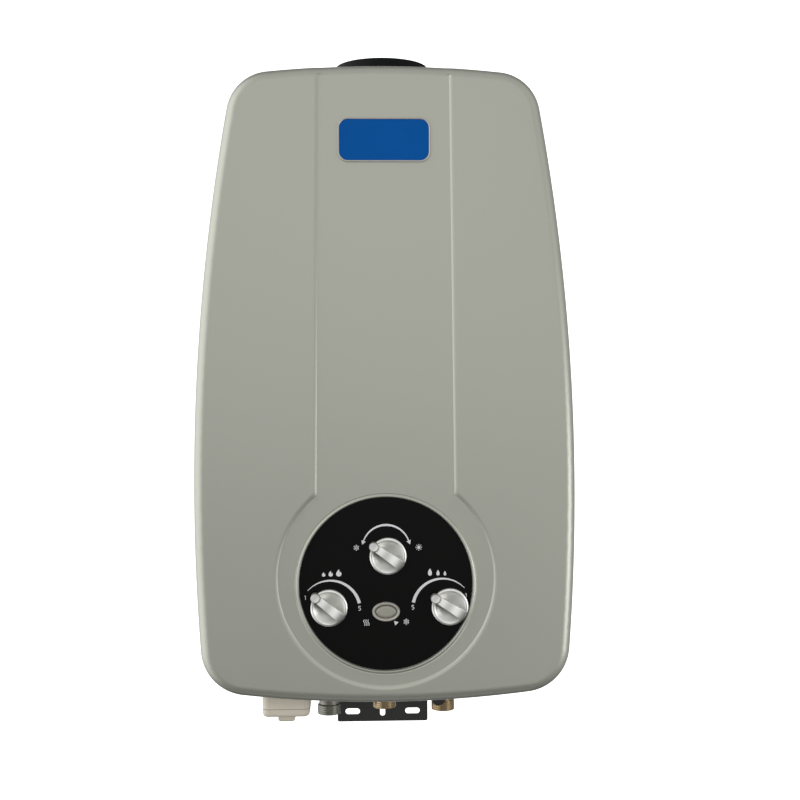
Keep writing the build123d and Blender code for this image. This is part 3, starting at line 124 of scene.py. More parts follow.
# Badge plate: frame and face outlines as steps in from its edge and up from the pressed panel
badge_corner = 0.009
badge_frame_outline = ((0, 0), (0, 0.0009), (0.0003, 0.0013), (0.0010, 0.0014), (0.0014, 0.0011),
                       (0.0014, 0))
badge_face_outline = ((0.0013, 0), (0.0013, 0.0008), (0.0018, 0.0010), (0.0030, 0.00105))
corner_segments = 12

# Signs on the control panel, each placed from the knob or window it belongs to
sign_rise = 0.00008
sign_stroke = 0.0006
sign_height = 0.0052
digit_height = 0.0036
season_arc_spot = Vector((-0.0015, 0.0058))
season_arc_radius = 0.0207
season_arc_angles = (math.radians(160), math.radians(20))
season_arc_widths = (0.0010, 0.0019, 0.0010)
gas_arc_spot = Vector((0.001, -0.0029))
gas_arc_angles = (math.radians(138), math.radians(13.6))
water_arc_spot = Vector((-0.0061, -0.0021))
water_arc_angles = (math.radians(43), math.radians(167.8))
flow_arc_radius = 0.0259
flow_arc_widths = (0.0005, 0.0019, 0.0028)
arrow_length = 0.0036
arrow_half = 0.0020
arc_steps = 48
snowflake_spot = Vector((-0.0272, 0.0070))
snowflake_fork_share = 0.28
snowflake_twig_share = 0.16
sun_spot = Vector((0.0268, 0.0070))
sun_disc_share = 0.26
sun_ray_shares = (0.34, 0.54)
sun_points = 24
flame_row = (Vector((-0.0045, 0.0265)), Vector((0.0015, 0.0265)), Vector((0.0085, 0.0265)))
flame_shares = ((0, 0), (0.22, 0.05), (0.38, 0.24), (0.38, 0.42), (0.28, 0.70), (0.17, 0.50), (0.08, 0.74),
                (0.06, 1.0), (-0.16, 0.80), (-0.32, 0.54), (-0.38, 0.28), (-0.22, 0.05))
drop_row = (Vector((-0.0170, 0.0265)), Vector((-0.0100, 0.0265)), Vector((-0.0040, 0.0265)))
drop_half_share = 0.36
drop_points = 32
row_shares = (0.75, 0.95, 1.2)
digit_one_shares = ((0.1, -1), (0.1, 1), (-0.35, 0.55))
digit_five_shares = ((0.5, 1), (-0.45, 1), (-0.5, 0.15), (0.2, 0.2), (0.5, -0.3), (0.2, -0.95),
                     (-0.5, -0.9))
gas_one_spot = Vector((-0.0204, 0.0085))
gas_five_spot = Vector((0.0264, -0.0012))
water_five_spot = Vector((-0.0318, -0.0008))
water_one_spot = Vector((0.0143, 0.0092))
wave_spot = Vector((-0.0170, -0.0095))
wave_spacing = 0.0018
wave_steps = 16
frost_spot = Vector((0.0175, -0.0090))
window_arrow_spot = Vector((0.0068, -0.0082))

# Screw threads, grip ribs and screw heads
thread_pitch = 0.0018
thread_ridge = 0.0005
thread_band = 0.009
thread_radius = 0.0102
thread_points = 40
thread_section_points = 6
grip_ribs = 24
grip_rib_size = Vector((0.0008, 0.0009, 0.0066))
grip_radius = 0.0064
grip_setback = 0.0048
fitting_depth = 0.085
fitting_places = {"gas_inlet_fitting": -0.051, "hot_outlet_fitting": 0, "cold_inlet_fitting": 0.054}
cover_screw_depth = 0.012
cover_screw_sizes = {"Head Radius": 0.004, "Top Radius": 0.0033, "Head Height": 0.0024,
                     "Shank Radius": 0.002, "Shank Length": 0.008, "Recess Length": 0.0042,
                     "Recess Width": 0.001}

# Mesh fineness
outline_step = 0.005
corner_step_angle = math.radians(3)
rim_rows = 12
crease_rows = 9
crease_step = 0.003
filler_step = 0.016
filler_room = 0.004
dial_segments = 180
turned_segments = 96
merge_gap = 0.00001
sharp_angle = math.radians(32)
flat_angle = math.radians(0.5)
soft_edge = 0.0004
box_edge = 0.0009
edge_segments = 3

# Heights of the fine bumps in the materials
peel_height = 0.00002
grain_height = 0.00003
cast_height = 0.0001

# Camera at the photo's angle
camera_place = Vector((-0.027, -1.265, 0.0))
camera_aim = Vector((0.0127, -0.165, -0.0132))
camera_roll = math.radians(-0.26)
camera_lens = 57.67

# World light as a dim level and lobes of direction, spread and strength, from behind, front, left and right
world_dim = 0.05
world_lobes = (((0, 1, 0), math.radians(45), 1.6), ((0.13, -0.77, 0.63), math.radians(88), 0.635),
               ((-1, -0.1, 0.1), math.radians(70), 1.9), ((1, -0.1, 0), math.radians(70), 0.5))

# Lamps and floor
key_place = Vector((-0.02, -2.4, 0.5))
key_aim = Vector((0, 0, 0.05))
key_size = 1.4
key_watts = 3.2
side_place = Vector((0.75, -0.55, -0.22))
side_aim = Vector((0.1, -0.1, -0.12))
side_size = 0.45
side_watts = 1.8
floor_low = Vector((-0.8, -0.7, -2.62))
floor_high = Vector((0.8, 0.05, -2.6))


class Socket:
    """One output of a node tree, with arithmetic that adds the nodes for it."""

    def __init__(self, tree, socket):
        self.tree = tree
        self.socket = socket

    def node(self, kind, output=0, feed=None, **settings):
        """Add a node, set its options, feed its inputs and hand back one of its outputs."""
        made = self.tree.nodes.new(kind)
        for name, value in settings.items():
            setattr(made, name, value)
        for name, value in (feed or {}).items():
            if isinstance(value, Socket):
                self.tree.links.new(value.socket, made.inputs[name])
            else:
                made.inputs[name].default_value = value
        return Socket(self.tree, made.outputs[output])

    def maths(self, operation, first, second):
        return self.node("ShaderNodeMath", feed={0: first, 1: second}, operation=operation)

    def __add__(self, other):
        return self.maths("ADD", self, other)

    def __radd__(self, other):
        return self.maths("ADD", other, self)

    def __sub__(self, other):
        return self.maths("SUBTRACT", self, other)

    def __rsub__(self, other):
        return self.maths("SUBTRACT", other, self)

    def __mul__(self, other):
        return self.maths("MULTIPLY", self, other)

    def __pow__(self, other):
        return self.maths("POWER", self, other)

    def __abs__(self):
        return self.maths("ABSOLUTE", self, 0)

    def cosine(self):
        return self.maths("COSINE", self, 0)

    def above(self, low, high):
        """0 below low, 1 above high, smooth between."""
        feed = {"Value": self, "From Min": low, "From Max": high}
        return self.node("ShaderNodeMapRange", feed=feed, interpolation_type="SMOOTHSTEP")

    def noise(self, scale, detail=3.0, stretch=(1, 1, 1)):
        place = self.node("ShaderNodeVectorMath", feed={0: self, 1: stretch}, operation="MULTIPLY")
        return place.node("ShaderNodeTexNoise", feed={"Vector": place, "Scale": scale, "Detail": detail})

    def cells(self, scale):
        return self.node("ShaderNodeTexVoronoi", feed={"Vector": self, "Scale": scale})

    def blend(self, first, second):
        """Colour that goes from first to second as this value goes from 0 to 1."""
        feed = {"Fac": self, "Color1": first, "Color2": second}
        return self.node("ShaderNodeMixRGB", feed=feed)

    def bump(self, height, strength=0.3):
        feed = {"Height": self, "Distance": height, "Strength": strength}
        return self.node("ShaderNodeBump", feed=feed)

    def axis(self, name):
        return self.node("ShaderNodeSeparateXYZ", output=name, feed={0: self})

    def facing(self, direction, spread):
        """1 towards a direction, fading to 0 at the spread angle."""
        feed = {0: self, 1: Vector(direction).normalized()}
        turned_to = self.node("ShaderNodeVectorMath", output="Value", feed=feed, operation="DOT_PRODUCT")
        return turned_to.above(math.cos(spread), 1.0)


def colour(red, green, blue):
    return (red, green, blue, 1.0)


def surface(name, design):
    """Material whose shader inputs are what design makes of the object coordinates."""
    material = bpy.data.materials.new(name)
    material.use_nodes = True
    tree = material.node_tree
    shader = tree.nodes["Principled BSDF"]
    place = Socket(tree, tree.nodes.new("ShaderNodeTexCoord").outputs["Object"])
    for key, value in design(place).items():
        if isinstance(value, Socket):
            tree.links.new(value.socket, shader.inputs[key])
        else:
            shader.inputs[key].default_value = value
    return material


def cover_paint(place):
    drift = place.noise(6)
    flake = place.noise(3200, 1.0)
    peel = place.noise(420, 2.0)
    tone = drift * 0.4 + flake * 0.6
    return {
        "Base Color": tone.blend(colour(0.38, 0.39, 0.335), colour(0.425, 0.435, 0.38)),
        "Metallic": 0.62,
        "Roughness": 0.36 + drift * 0.06,
        "Coat Weight": 0.1,
        "Coat Roughness": 0.2,
        "Normal": peel.bump(peel_height, 0.15),
    }


def gloss_black(place):
    drift = place.noise(9)
    return {
        "Base Color": drift.blend(colour(0.0015, 0.0016, 0.0014), colour(0.0025, 0.0026, 0.0023)),
        "Roughness": 0.12 + drift * 0.08,
        "Specular IOR Level": 0.12,
        "Normal": place.noise(90).bump(grain_height),
    }


def knob_with_painted_light(dial):
    """Satin metal with painted highlight bands across the bar, painted shade on the bar's tail, a painted shadow
    of the bar on the dish's lower side, painted shade in the dish beside the bar and a dark ring of painted shadow
    round the nub.
    """
    heading = knob_angles[dial]

    def design(place):
        spot = joint_spots[dial + "_dial"]
        right = place.axis("X") - spot.x
        up = place.axis("Z") - spot.z
        along = right * math.cos(heading) + up * math.sin(heading)
        across = up * math.cos(heading) - right * math.sin(heading)
        # Painted shade in the dish close to the bar, fading out towards the rim
        clear_of_bar_shade = abs(across).above(bar_tail_half, knob_radius - bar_root_half)
        # The dish's lower side, where the bar's shadow is painted darker than the upper side
        bar_shadow_side = across.above(-bar_root_half, bar_root_half)
        # Bands of painted highlight along the bar, standing in for the streaks that a satin bar reflects
        highlight_wave = ((along - highlight_band_place) * (2 * math.pi / highlight_band_spacing)).cosine()
        on_bar = (place.axis("Y") * -1).above(knob_back + bar_end, knob_back + bar_shoulder)
        # Painted shade on the bar's tail, darkest at the knob's edge
        beyond_tail_shade = along.above(-knob_radius, -knob_radius / 2)
        grain = place.noise(2600, 1.0)
        bar_shadow_tone = bar_shadow_side.blend(colour(0.58, 0.58, 0.55), colour(0.28, 0.28, 0.265))
        shaded_dish = clear_of_bar_shade.blend(bar_shadow_tone, colour(0.78, 0.78, 0.75))
        painted_highlight_bands = (0.45 + highlight_wave * 0.45 + grain * 0.1).blend(colour(0.60, 0.60, 0.57), colour(0.98, 0.98, 0.95))
        # Ring of painted shadow round the nub, where it stands on the bar
        from_nub = ((along - nub_reach) ** 2 + across ** 2) ** 0.5 - nub_radius
        off_nub_shadow = abs(from_nub).above(0, nub_shadow_width)
        bar = off_nub_shadow.blend(colour(0.24, 0.24, 0.225), beyond_tail_shade.blend(colour(0.16, 0.16, 0.15), painted_highlight_bands))
        return {
            "Base Color": on_bar.blend(shaded_dish, bar),
            "Metallic": 0.85 - on_bar * 0.55,
            "Roughness": 0.26 + grain * 0.1,
            "Normal": grain.bump(peel_height),
        }

    return design


def knob_silver(place):
    grain = place.noise(2600, 1.0)
    tone = place.noise(30) * 0.6 + grain * 0.4
    return {
        "Base Color": tone.blend(colour(0.70, 0.70, 0.67), colour(0.80, 0.80, 0.77)),
        "Metallic": 0.6,
        "Roughness": 0.24 + grain * 0.08,
        "Normal": grain.bump(peel_height),
    }


def fitting_grey(place):
    turning = place.noise(900, 2.0, (1, 1, 12))
    drift = place.noise(50)
    return {
        "Base Color": drift.blend(colour(0.17, 0.168, 0.145), colour(0.23, 0.228, 0.2)),
        "Metallic": 0.85,
        "Roughness": 0.2 + turning * 0.1,
        "Normal": turning.bump(peel_height),
    }


def black_enamel(place):
    drift = place.noise(40)
    grain = place.noise(1500, 2.0)
    return {
        "Base Color": drift.blend(colour(0.012, 0.012, 0.0105), colour(0.02, 0.02, 0.018)),
        "Roughness": 0.38 + grain * 0.16,
        "Normal": grain.bump(grain_height),
    }


def brass_fittings(place):
    tarnish = place.noise(60, 3.0).above(0.4, 0.75)
    turning = place.noise(900, 2.0, (1, 1, 12))
    return {
        "Base Color": tarnish.blend(colour(0.33, 0.245, 0.14), colour(0.26, 0.185, 0.10)),
        "Metallic": 0.9,
        "Roughness": 0.17 + tarnish * 0.08,
        "Normal": turning.bump(peel_height),
    }


def zinc_steel(place):
    spangle = place.cells(190)
    tone = spangle * 0.6 + place.noise(25) * 0.4
    return {
        "Base Color": tone.blend(colour(0.42, 0.43, 0.44), colour(0.62, 0.63, 0.64)),
        "Metallic": 0.9,
        "Roughness": 0.3 + spangle * 0.15,
    }


def copper(place):
    heat = place.noise(35, 4.0).above(0.4, 0.7)
    return {
        "Base Color": heat.blend(colour(0.68, 0.32, 0.18), colour(0.36, 0.15, 0.10)),
        "Metallic": 0.95,
        "Roughness": 0.26 + heat * 0.18,
    }


def cast_aluminium(place):
    grain = place.noise(700, 4.0)
    return {
        "Base Color": grain.blend(colour(0.42, 0.42, 0.43), colour(0.62, 0.62, 0.63)),
        "Metallic": 0.85,
        "Roughness": 0.42 + grain * 0.2,
        "Normal": grain.bump(cast_height),
    }


def dark_plastic(place):
    grain = place.noise(1200)
    return {
        "Base Color": grain.blend(colour(0.008, 0.008, 0.009), colour(0.016, 0.016, 0.017)),
        "Roughness": 0.4 + grain * 0.2,
        "Normal": grain.bump(grain_height),
    }


def box_plastic(place):
    drift = place.noise(30)
    grain = place.noise(1500, 2.0)
    return {
        "Base Color": drift.blend(colour(0.60, 0.55, 0.455), colour(0.66, 0.61, 0.51)),
        "Roughness": 0.36 + grain * 0.12,
        "Normal": grain.bump(grain_height),
    }


def plain(scale, colours, roughness, spread, **fixed):
    """Design whose colour and roughness drift with one noise, beside inputs that stay fixed."""
    def design(place):
        drift = place.noise(scale)
        first, second = [colour(*tint) for tint in colours]
        inputs = {label.replace("_", " "): value for label, value in fixed.items()}
        inputs["Base Color"] = drift.blend(first, second)
        inputs["Roughness"] = roughness + drift * spread
        return inputs

    return design


bezel_grey = plain(60, ((0.40, 0.385, 0.34), (0.48, 0.46, 0.41)), 0.26, 0.1, Metallic=0.45)
sight_glass = plain(45, ((0.25, 0.245, 0.20), (0.32, 0.31, 0.26)), 0.1, 0.08, Coat_Weight=0.5)
badge_blue = plain(25, ((0.0005, 0.074, 0.30), (0.001, 0.089, 0.35)), 0.3, 0.06, Specular_IOR_Level=0.05)
flue_black = plain(900, ((0.003, 0.0035, 0.004), (0.006, 0.0065, 0.007)), 0.45, 0.1, Specular_IOR_Level=0.1)
electrode_ceramic = plain(120, ((0.74, 0.72, 0.65), (0.84, 0.82, 0.77)), 0.2, 0.1, Coat_Weight=0.4)
diaphragm_rubber = plain(800, ((0.012, 0.012, 0.012), (0.03, 0.03, 0.03)), 0.6, 0.2)
lead_rubber = plain(200, ((0.26, 0.03, 0.02), (0.36, 0.05, 0.04)), 0.5, 0.15)
cell_wrap = plain(60, ((0.02, 0.035, 0.10), (0.04, 0.06, 0.15)), 0.2, 0.1)
sign_white = plain(200, ((0.60, 0.60, 0.62), (0.70, 0.70, 0.72)), 0.45, 0.1)
floor_white = plain(3, ((0.60, 0.60, 0.59), (0.66, 0.66, 0.65)), 0.6, 0.1)
slot_designs = {
    "cover_paint": cover_paint,
    "badge_blue": badge_blue,
    "zinc_steel": zinc_steel,
    "black_enamel": black_enamel,
    "panel_black": gloss_black,
    "knob_silver": knob_silver,
    "bezel_grey": bezel_grey,
    "sight_glass": sight_glass,
    "brass_fittings": brass_fittings,
    "copper": copper,
    "cast_aluminium": cast_aluminium,
    "electrode_ceramic": electrode_ceramic,
    "diaphragm_rubber": diaphragm_rubber,
    "lead_rubber": lead_rubber,
    "dark_plastic": dark_plastic,
    "box_plastic": box_plastic,
    "cell_wrap": cell_wrap,
}
materials = {slot: surface(slot, design) for slot, design in slot_designs.items()}
sign_paint = surface("sign_white", sign_white)


# Cover

def front_arcs():
    """The right half of the cover's outline as arcs, from the bottom middle up to the top middle."""
    side = Vector((case_width / 2 - side_bow, widest_level))
    top = Vector((0, case_height / 2 - top_bow))
    bottom = Vector((0, bottom_bow - case_height / 2))
    low = corner_centre(side, side_bow, bottom, bottom_bow, bottom_corner, -1)
    high = corner_centre(side, side_bow, top, top_bow, top_corner, 1)
    turns = [-math.pi / 2, angle_of(low - bottom), angle_of(low - side), angle_of(high - side),
             angle_of(high - top), math.pi / 2]
    centres = (bottom, low, side, high, top)
    radii = (bottom_bow, bottom_corner, side_bow, top_corner, top_bow)
    return list(zip(centres, radii, turns, turns[1:]))


def angle_of(direction):
    return math.atan2(direction.y, direction.x)


def corner_centre(side, side_radius, end, end_radius, corner, up):
    """Centre of the corner arc that touches a side bow and an end bow from inside."""
    reach_side = side_radius - corner
    reach_end = end_radius - corner
    gap = end - side
    along = (reach_side ** 2 - reach_end ** 2 + gap.length ** 2) / (2 * gap.length)
    across = math.sqrt(reach_side ** 2 - along ** 2)
    heading = gap.normalized()
    foot = side + heading * along
    normal = Vector((-heading.y, heading.x))
    options = [foot + normal * across, foot - normal * across]
    return max(options, key=lambda spot: spot.x + up * spot.y)


def outline_samples():
    """The whole outline, anticlockwise, as (arc centre, radius, angle)."""
    half = []
    for centre, radius, start, end in cover_arcs:
        step = min(corner_step_angle, outline_step / radius)
        count = max(2, math.ceil((end - start) / step))
        half += [(centre, radius, start + (end - start) * n / count) for n in range(count)]
    top_centre, top_radius, _, _ = cover_arcs[-1]
    half.append((top_centre, top_radius, math.pi / 2))
    mirrored = [(Vector((-c.x, c.y)), r, math.pi - a) for c, r, a in half[1:-1]]
    return half + mirrored[::-1]


def inset_spot(sample, inset):
    centre, radius, angle = sample
    return centre + Vector((math.cos(angle), math.sin(angle))) * (radius - inset)


def inset_of(spot):
    """How far a spot lies inside the outline."""
    spot = Vector((abs(spot.x), spot.y))
    found = []
    for centre, radius, start, end in cover_arcs:
        away = spot - centre
        is_corner = radius < min(side_bow, top_bow, bottom_bow)
        if not is_corner or start <= angle_of(away) <= end:
            found.append(radius - away.length)
    return min(found)


def panel_half(level):
    """Half the width of the pressed panel at a level."""
    share = (case_height / 2 - level) / (case_height / 2 - ring_level)
    return panel_top_half + (panel_low_half - panel_top_half) * share


def crease_distance(spot):
    """Signed distance out from the edge of the pressed panel and ring."""
    ring = (spot - Vector((0, ring_level))).length - ring_radius
    strip = max(abs(spot.x) - panel_half(spot.y), ring_level - spot.y)
    return min(ring, strip)


def face_at(spot):
    """Depth of the cover's outer face from the wall."""
    across_share = 1 - crease_inner_share - crease_distance(spot) / crease_width
    sink = panel_sink * min(1, max(0, across_share)) ** 2
    inset = min(edge_round, max(0.0, inset_of(spot)))
    drop = edge_round - math.sqrt(edge_round ** 2 - (edge_round - inset) ** 2)
    return face_depth - sink - drop


def crease_loop(offset):
    """One curve beside the panel's edge, from the top edge round the ring and back up."""
    points = []
    reach = ring_radius + offset
    level = case_height / 2 - edge_round
    across = panel_half(level) + offset
    while math.hypot(across, level - ring_level) > reach:
        points.append(Vector((across, level)))
        level -= crease_step
        across = panel_half(level) + offset
    start = math.atan2(math.sqrt(max(0, reach ** 2 - across ** 2)), across)
    sweep = start + math.pi / 2
    count = math.ceil(sweep * reach / crease_step)
    for n in range(count + 1):
        angle = start - sweep * n / count
        points.append(Vector((reach * math.cos(angle), ring_level + reach * math.sin(angle))))
    mirrored = [Vector((-spot.x, spot.y)) for spot in points[:-1]]
    return points + mirrored[::-1]


def full_turn(count):
    """Equal angles round a circle."""
    return [2 * math.pi * n / count for n in range(count)]


def circle(radius, level, count):
    return [Vector((radius * math.cos(a), level + radius * math.sin(a))) for a in full_turn(count)]


def face_points():
    """Points and fixed edges for the cover's face."""
    points = []
    edges = []

    def add(loop, closed):
        first = len(points)
        points.extend(loop)
        edges.extend((first + n, first + n + 1) for n in range(len(loop) - 1))
        if closed:
            edges.append((first + len(loop) - 1, first))

    for row in range(rim_rows + 1):
        inset = edge_round * (1 - math.sin(math.pi / 2 * row / rim_rows))
        add([inset_spot(sample, inset) for sample in samples], True)
    for row in range(crease_rows):
        offset = crease_width * (row / (crease_rows - 1) - crease_inner_share)
        add(crease_loop(offset), False)
    add(circle(dial_radius + bead_reach, dial_level, dial_segments), True)
    across = -case_width / 2
    while across < case_width / 2:
        level = -case_height / 2
        while level < case_height / 2:
            spot = Vector((across, level))
            clear = abs(crease_distance(spot)) > crease_width + filler_room
            hole = (spot - dial_middle).length > dial_radius + bead_reach + filler_room
            if inset_of(spot) > edge_round + filler_room and clear and hole:
                points.append(spot)
            level += filler_step
        across += filler_step
    return points, edges


def cover_skin():
    """The cover's outer skin: face, rolled edge, walls and the bead of the dial opening."""
    skin = bmesh.new()
    points, edges = face_points()
    spots, _, faces, _, _, _ = delaunay_2d_cdt(points, edges, [], 0, merge_gap)
    made = [skin.verts.new((spot.x, -face_at(spot), spot.y)) for spot in spots]
    opening = dial_radius + bead_reach - merge_gap
    for face in faces:
        middle = sum((spots[n] for n in face), Vector((0, 0))) / len(face)
        if (middle - dial_middle).length > opening:
            skin.faces.new([made[n] for n in face])
    bmesh.ops.delete(skin, geom=[v for v in skin.verts if not v.link_faces], context="VERTS")
    rims = [edge for edge in skin.edges if edge.is_boundary]
    inner = [edge for edge in rims if dial_away(edge.verts[0].co).length < dial_radius + edge_round]
    outer = [edge for edge in rims if edge not in set(inner)]
    grow(skin, outer, [lambda co: Vector((co.x, -cover_rear, co.z))])
    grow(skin, inner, [bead_row(dial_radius + out, up) for out, up in bead_steps])
    bmesh.ops.recalc_face_normals(skin, faces=skin.faces)
    if sum(face.normal.y * face.calc_area() for face in skin.faces) > 0:
        bmesh.ops.reverse_faces(skin, faces=skin.faces)
    return skin


def dial_away(co):
    return Vector((co.x, co.z)) - dial_middle


def bead_row(radius, up):
    """Moves a point of the bead to a radius about the dial and a height above the pressed panel."""
    def move(co):
        away = dial_away(co).normalized() * radius
        return Vector((away.x, panel_sink - face_depth - up, dial_level + away.y))
    return move


def grow(skin, edges, rows):
    """Add one row of faces for each move, starting from a loop of edges."""
    for move in rows:
        added = bmesh.ops.extrude_edge_only(skin, edges=edges)["geom"]
        for vert in [item for item in added if isinstance(item, bmesh.types.BMVert)]:
            vert.co = move(vert.co)
        edges = [item for item in added if isinstance(item, bmesh.types.BMEdge)]


# Making and finishing pieces

def mesh_object(name, shape):
    """Object from a bmesh, linked to the scene."""
    mesh = bpy.data.meshes.new(name)
    shape.to_mesh(mesh)
    shape.free()
    made = bpy.data.objects.new(name, mesh)
    bpy.context.scene.collection.objects.link(made)
    return made


def baked(obj):
    """Apply an object's modifiers to a plain mesh."""
    graph = bpy.context.evaluated_depsgraph_get()
    mesh = bpy.data.meshes.new_from_object(obj.evaluated_get(graph))
    obj.modifiers.clear()
    obj.data = mesh
    return obj


def settled(obj, body, slot, *nodes, finish=None):
    """Give a finished piece its material, its body and the parts it stands for."""
    obj.data.materials.clear()
    obj.data.materials.append(finish or materials[slot])
    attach(obj, body)
    if nodes:
        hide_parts(*nodes)


def shaded(obj):
    """Smooth shading with sharp edges and face-weighted normals."""
    obj.data.shade_smooth()
    obj.data.set_sharp_from_angle(angle=sharp_angle)
    weigh = obj.modifiers.new("weigh", "WEIGHTED_NORMAL")
    weigh.keep_sharp = True
    return baked(obj)


def block(name, low, high):
    """Plain box for cutting and for the floor."""
    shape = bmesh.new()
    bmesh.ops.create_cube(shape, size=1)
    for vert in shape.verts:
        vert.co = [low[n] if vert.co[n] < 0 else high[n] for n in range(3)]
    return mesh_object(name, shape)


def stack(shape, loops, ends="cap"):
    """Join loops of equal length with faces, and cap the two ends or join them to a ring."""
    rows = [[shape.verts.new(spot) for spot in loop] for loop in loops]
    pairs = list(zip(rows, rows[1:]))
    if ends == "ring":
        pairs.append((rows[-1], rows[0]))
    for low, high in pairs:
        for n in range(len(low)):
            m = (n + 1) % len(low)
            shape.faces.new((low[n], low[m], high[m], high[n]))
    if ends == "cap":
        shape.faces.new(rows[0][::-1])
        shape.faces.new(rows[-1])


def turned(shape, outline, place=Matrix()):
    """Solid of revolution about Z from (radius, height) pairs."""
    turns = full_turn(turned_segments)
    loops = [[place @ Vector((r * math.cos(a), r * math.sin(a), h)) for a in turns] for r, h in outline]
    stack(shape, loops)


def cut_by(obj, cutters):
    """Cut other objects out of this one and remove them."""
    for cutter in cutters:
        cut = obj.modifiers.new("cut", "BOOLEAN")
        cut.operation = "DIFFERENCE"
        cut.solver = "EXACT"
        cut.object = cutter
    baked(obj)
    for cutter in cutters:
        bpy.data.objects.remove(cutter)


def flue_cutter():
    """Slot with a round end, for the flue notch in the cover's top wall."""
    shape = bmesh.new()
    turns = [math.pi * n / (dial_segments // 2) for n in range(dial_segments // 2 + 1)]
    ring = [(flue_notch_radius * math.cos(a), -flue_depth - flue_notch_radius * math.sin(a)) for a in turns]
    ring += [(-flue_notch_radius, notch_reach), (flue_notch_radius, notch_reach)]
    levels = (case_height / 2 - notch_reach, case_height / 2 + notch_reach)
    stack(shape, [[Vector((x, y, level)) for x, y in ring] for level in levels])
    bmesh.ops.recalc_face_normals(shape, faces=shape.faces)
    return mesh_object("flue_cutter", shape)


def front_cover():
    cover = mesh_object("cover_shell", cover_skin())
    thick = cover.modifiers.new("thick", "SOLIDIFY")
    thick.thickness = sheet
    thick.offset = -1
    thick.use_even_offset = True
    low = Vector((low_notch_left, -low_notch_depth, -case_height / 2 - notch_reach))
    high = Vector((low_notch_right, notch_reach, -case_height / 2 + notch_reach))
    cut_by(cover, [flue_cutter(), block("low_cutter", low, high)])
    settled(shaded(cover), "casing", "cover_paint", "front_cover")


def merged_copy(node):
    """Copy of a part's mesh with its doubled points joined and its flat faces made whole."""
    shape = bmesh.new()
    shape.from_mesh(frame["nodes"][node].data)
    bmesh.ops.remove_doubles(shape, verts=shape.verts, dist=merge_gap)
    bmesh.ops.dissolve_limit(shape, angle_limit=flat_angle, verts=shape.verts, edges=shape.edges)
    return mesh_object(node + "_soft", shape)


def softened(node, body, slot, width, finish=None):
    """Part with its hard edges softened by a small bevel."""
    soft = merged_copy(node)
    round_off = soft.modifiers.new("round", "BEVEL")
    round_off.width = width
    round_off.segments = edge_segments
    round_off.limit_method = "ANGLE"
    round_off.angle_limit = sharp_angle
    round_off.use_clamp_overlap = True
    settled(shaded(baked(soft)), body, slot, node, finish=finish)


# Details that repeat, grown by node trees

def growth_tree(name, **inputs):
    """Geometry tree with named inputs, handed back with a socket for each of them."""
    tree = bpy.data.node_groups.new(name, "GeometryNodeTree")
    for label, kind in inputs.items():
        tree.interface.new_socket(label.replace("_", " "), in_out="INPUT", socket_type="NodeSocket" + kind)
    tree.interface.new_socket("Geometry", in_out="OUTPUT", socket_type="NodeSocketGeometry")
    source = tree.nodes.new("NodeGroupInput")
    return tree, {label: Socket(tree, source.outputs[label.replace("_", " ")]) for label in inputs}


def close_tree(tree, geometry, material):
    """End a tree in real meshes with their material."""
    whole = geometry.node("GeometryNodeRealizeInstances", feed={"Geometry": geometry})
    painted = whole.node("GeometryNodeSetMaterial", feed={"Geometry": whole, "Material": material})
    tree.links.new(painted.socket, tree.nodes.new("NodeGroupOutput").inputs["Geometry"])
    return tree


def thread_tree():
    """A ridge that winds up a round end."""
    tree, given = growth_tree("thread", Radius="Float", Turns="Float", Height="Float", Ridge="Float",
                              Material="Material")
    feed = {"Resolution": thread_points, "Rotations": given["Turns"], "Start Radius": given["Radius"],
            "End Radius": given["Radius"], "Height": given["Height"]}
    path = given["Radius"].node("GeometryNodeCurveSpiral", feed=feed)
    feed = {"Resolution": thread_section_points, "Radius": given["Ridge"]}
    section = path.node("GeometryNodeCurvePrimitiveCircle", feed=feed)
    feed = {"Curve": path, "Profile Curve": section, "Fill Caps": True}
    return close_tree(tree, path.node("GeometryNodeCurveToMesh", feed=feed), given["Material"])


def rib_tree():
    """Equal ribs round an axis."""
    tree, given = growth_tree("ribs", Count="Int", Radius="Float", Size="Vector", Material="Material")
    feed = {"Vertices": given["Count"], "Radius": given["Radius"]}
    ring = given["Count"].node("GeometryNodeMeshCircle", feed=feed)
    rib = ring.node("GeometryNodeMeshCube", feed={"Size": given["Size"]})
    spot = ring.node("GeometryNodeInputPosition")
    feed = {"Vector": spot}
    heading = spot.node("FunctionNodeAlignRotationToVector", feed=feed, axis="X", pivot_axis="Z")
    feed = {"Points": ring, "Instance": rib, "Rotation": heading}
    return close_tree(tree, ring.node("GeometryNodeInstanceOnPoints", feed=feed), given["Material"])


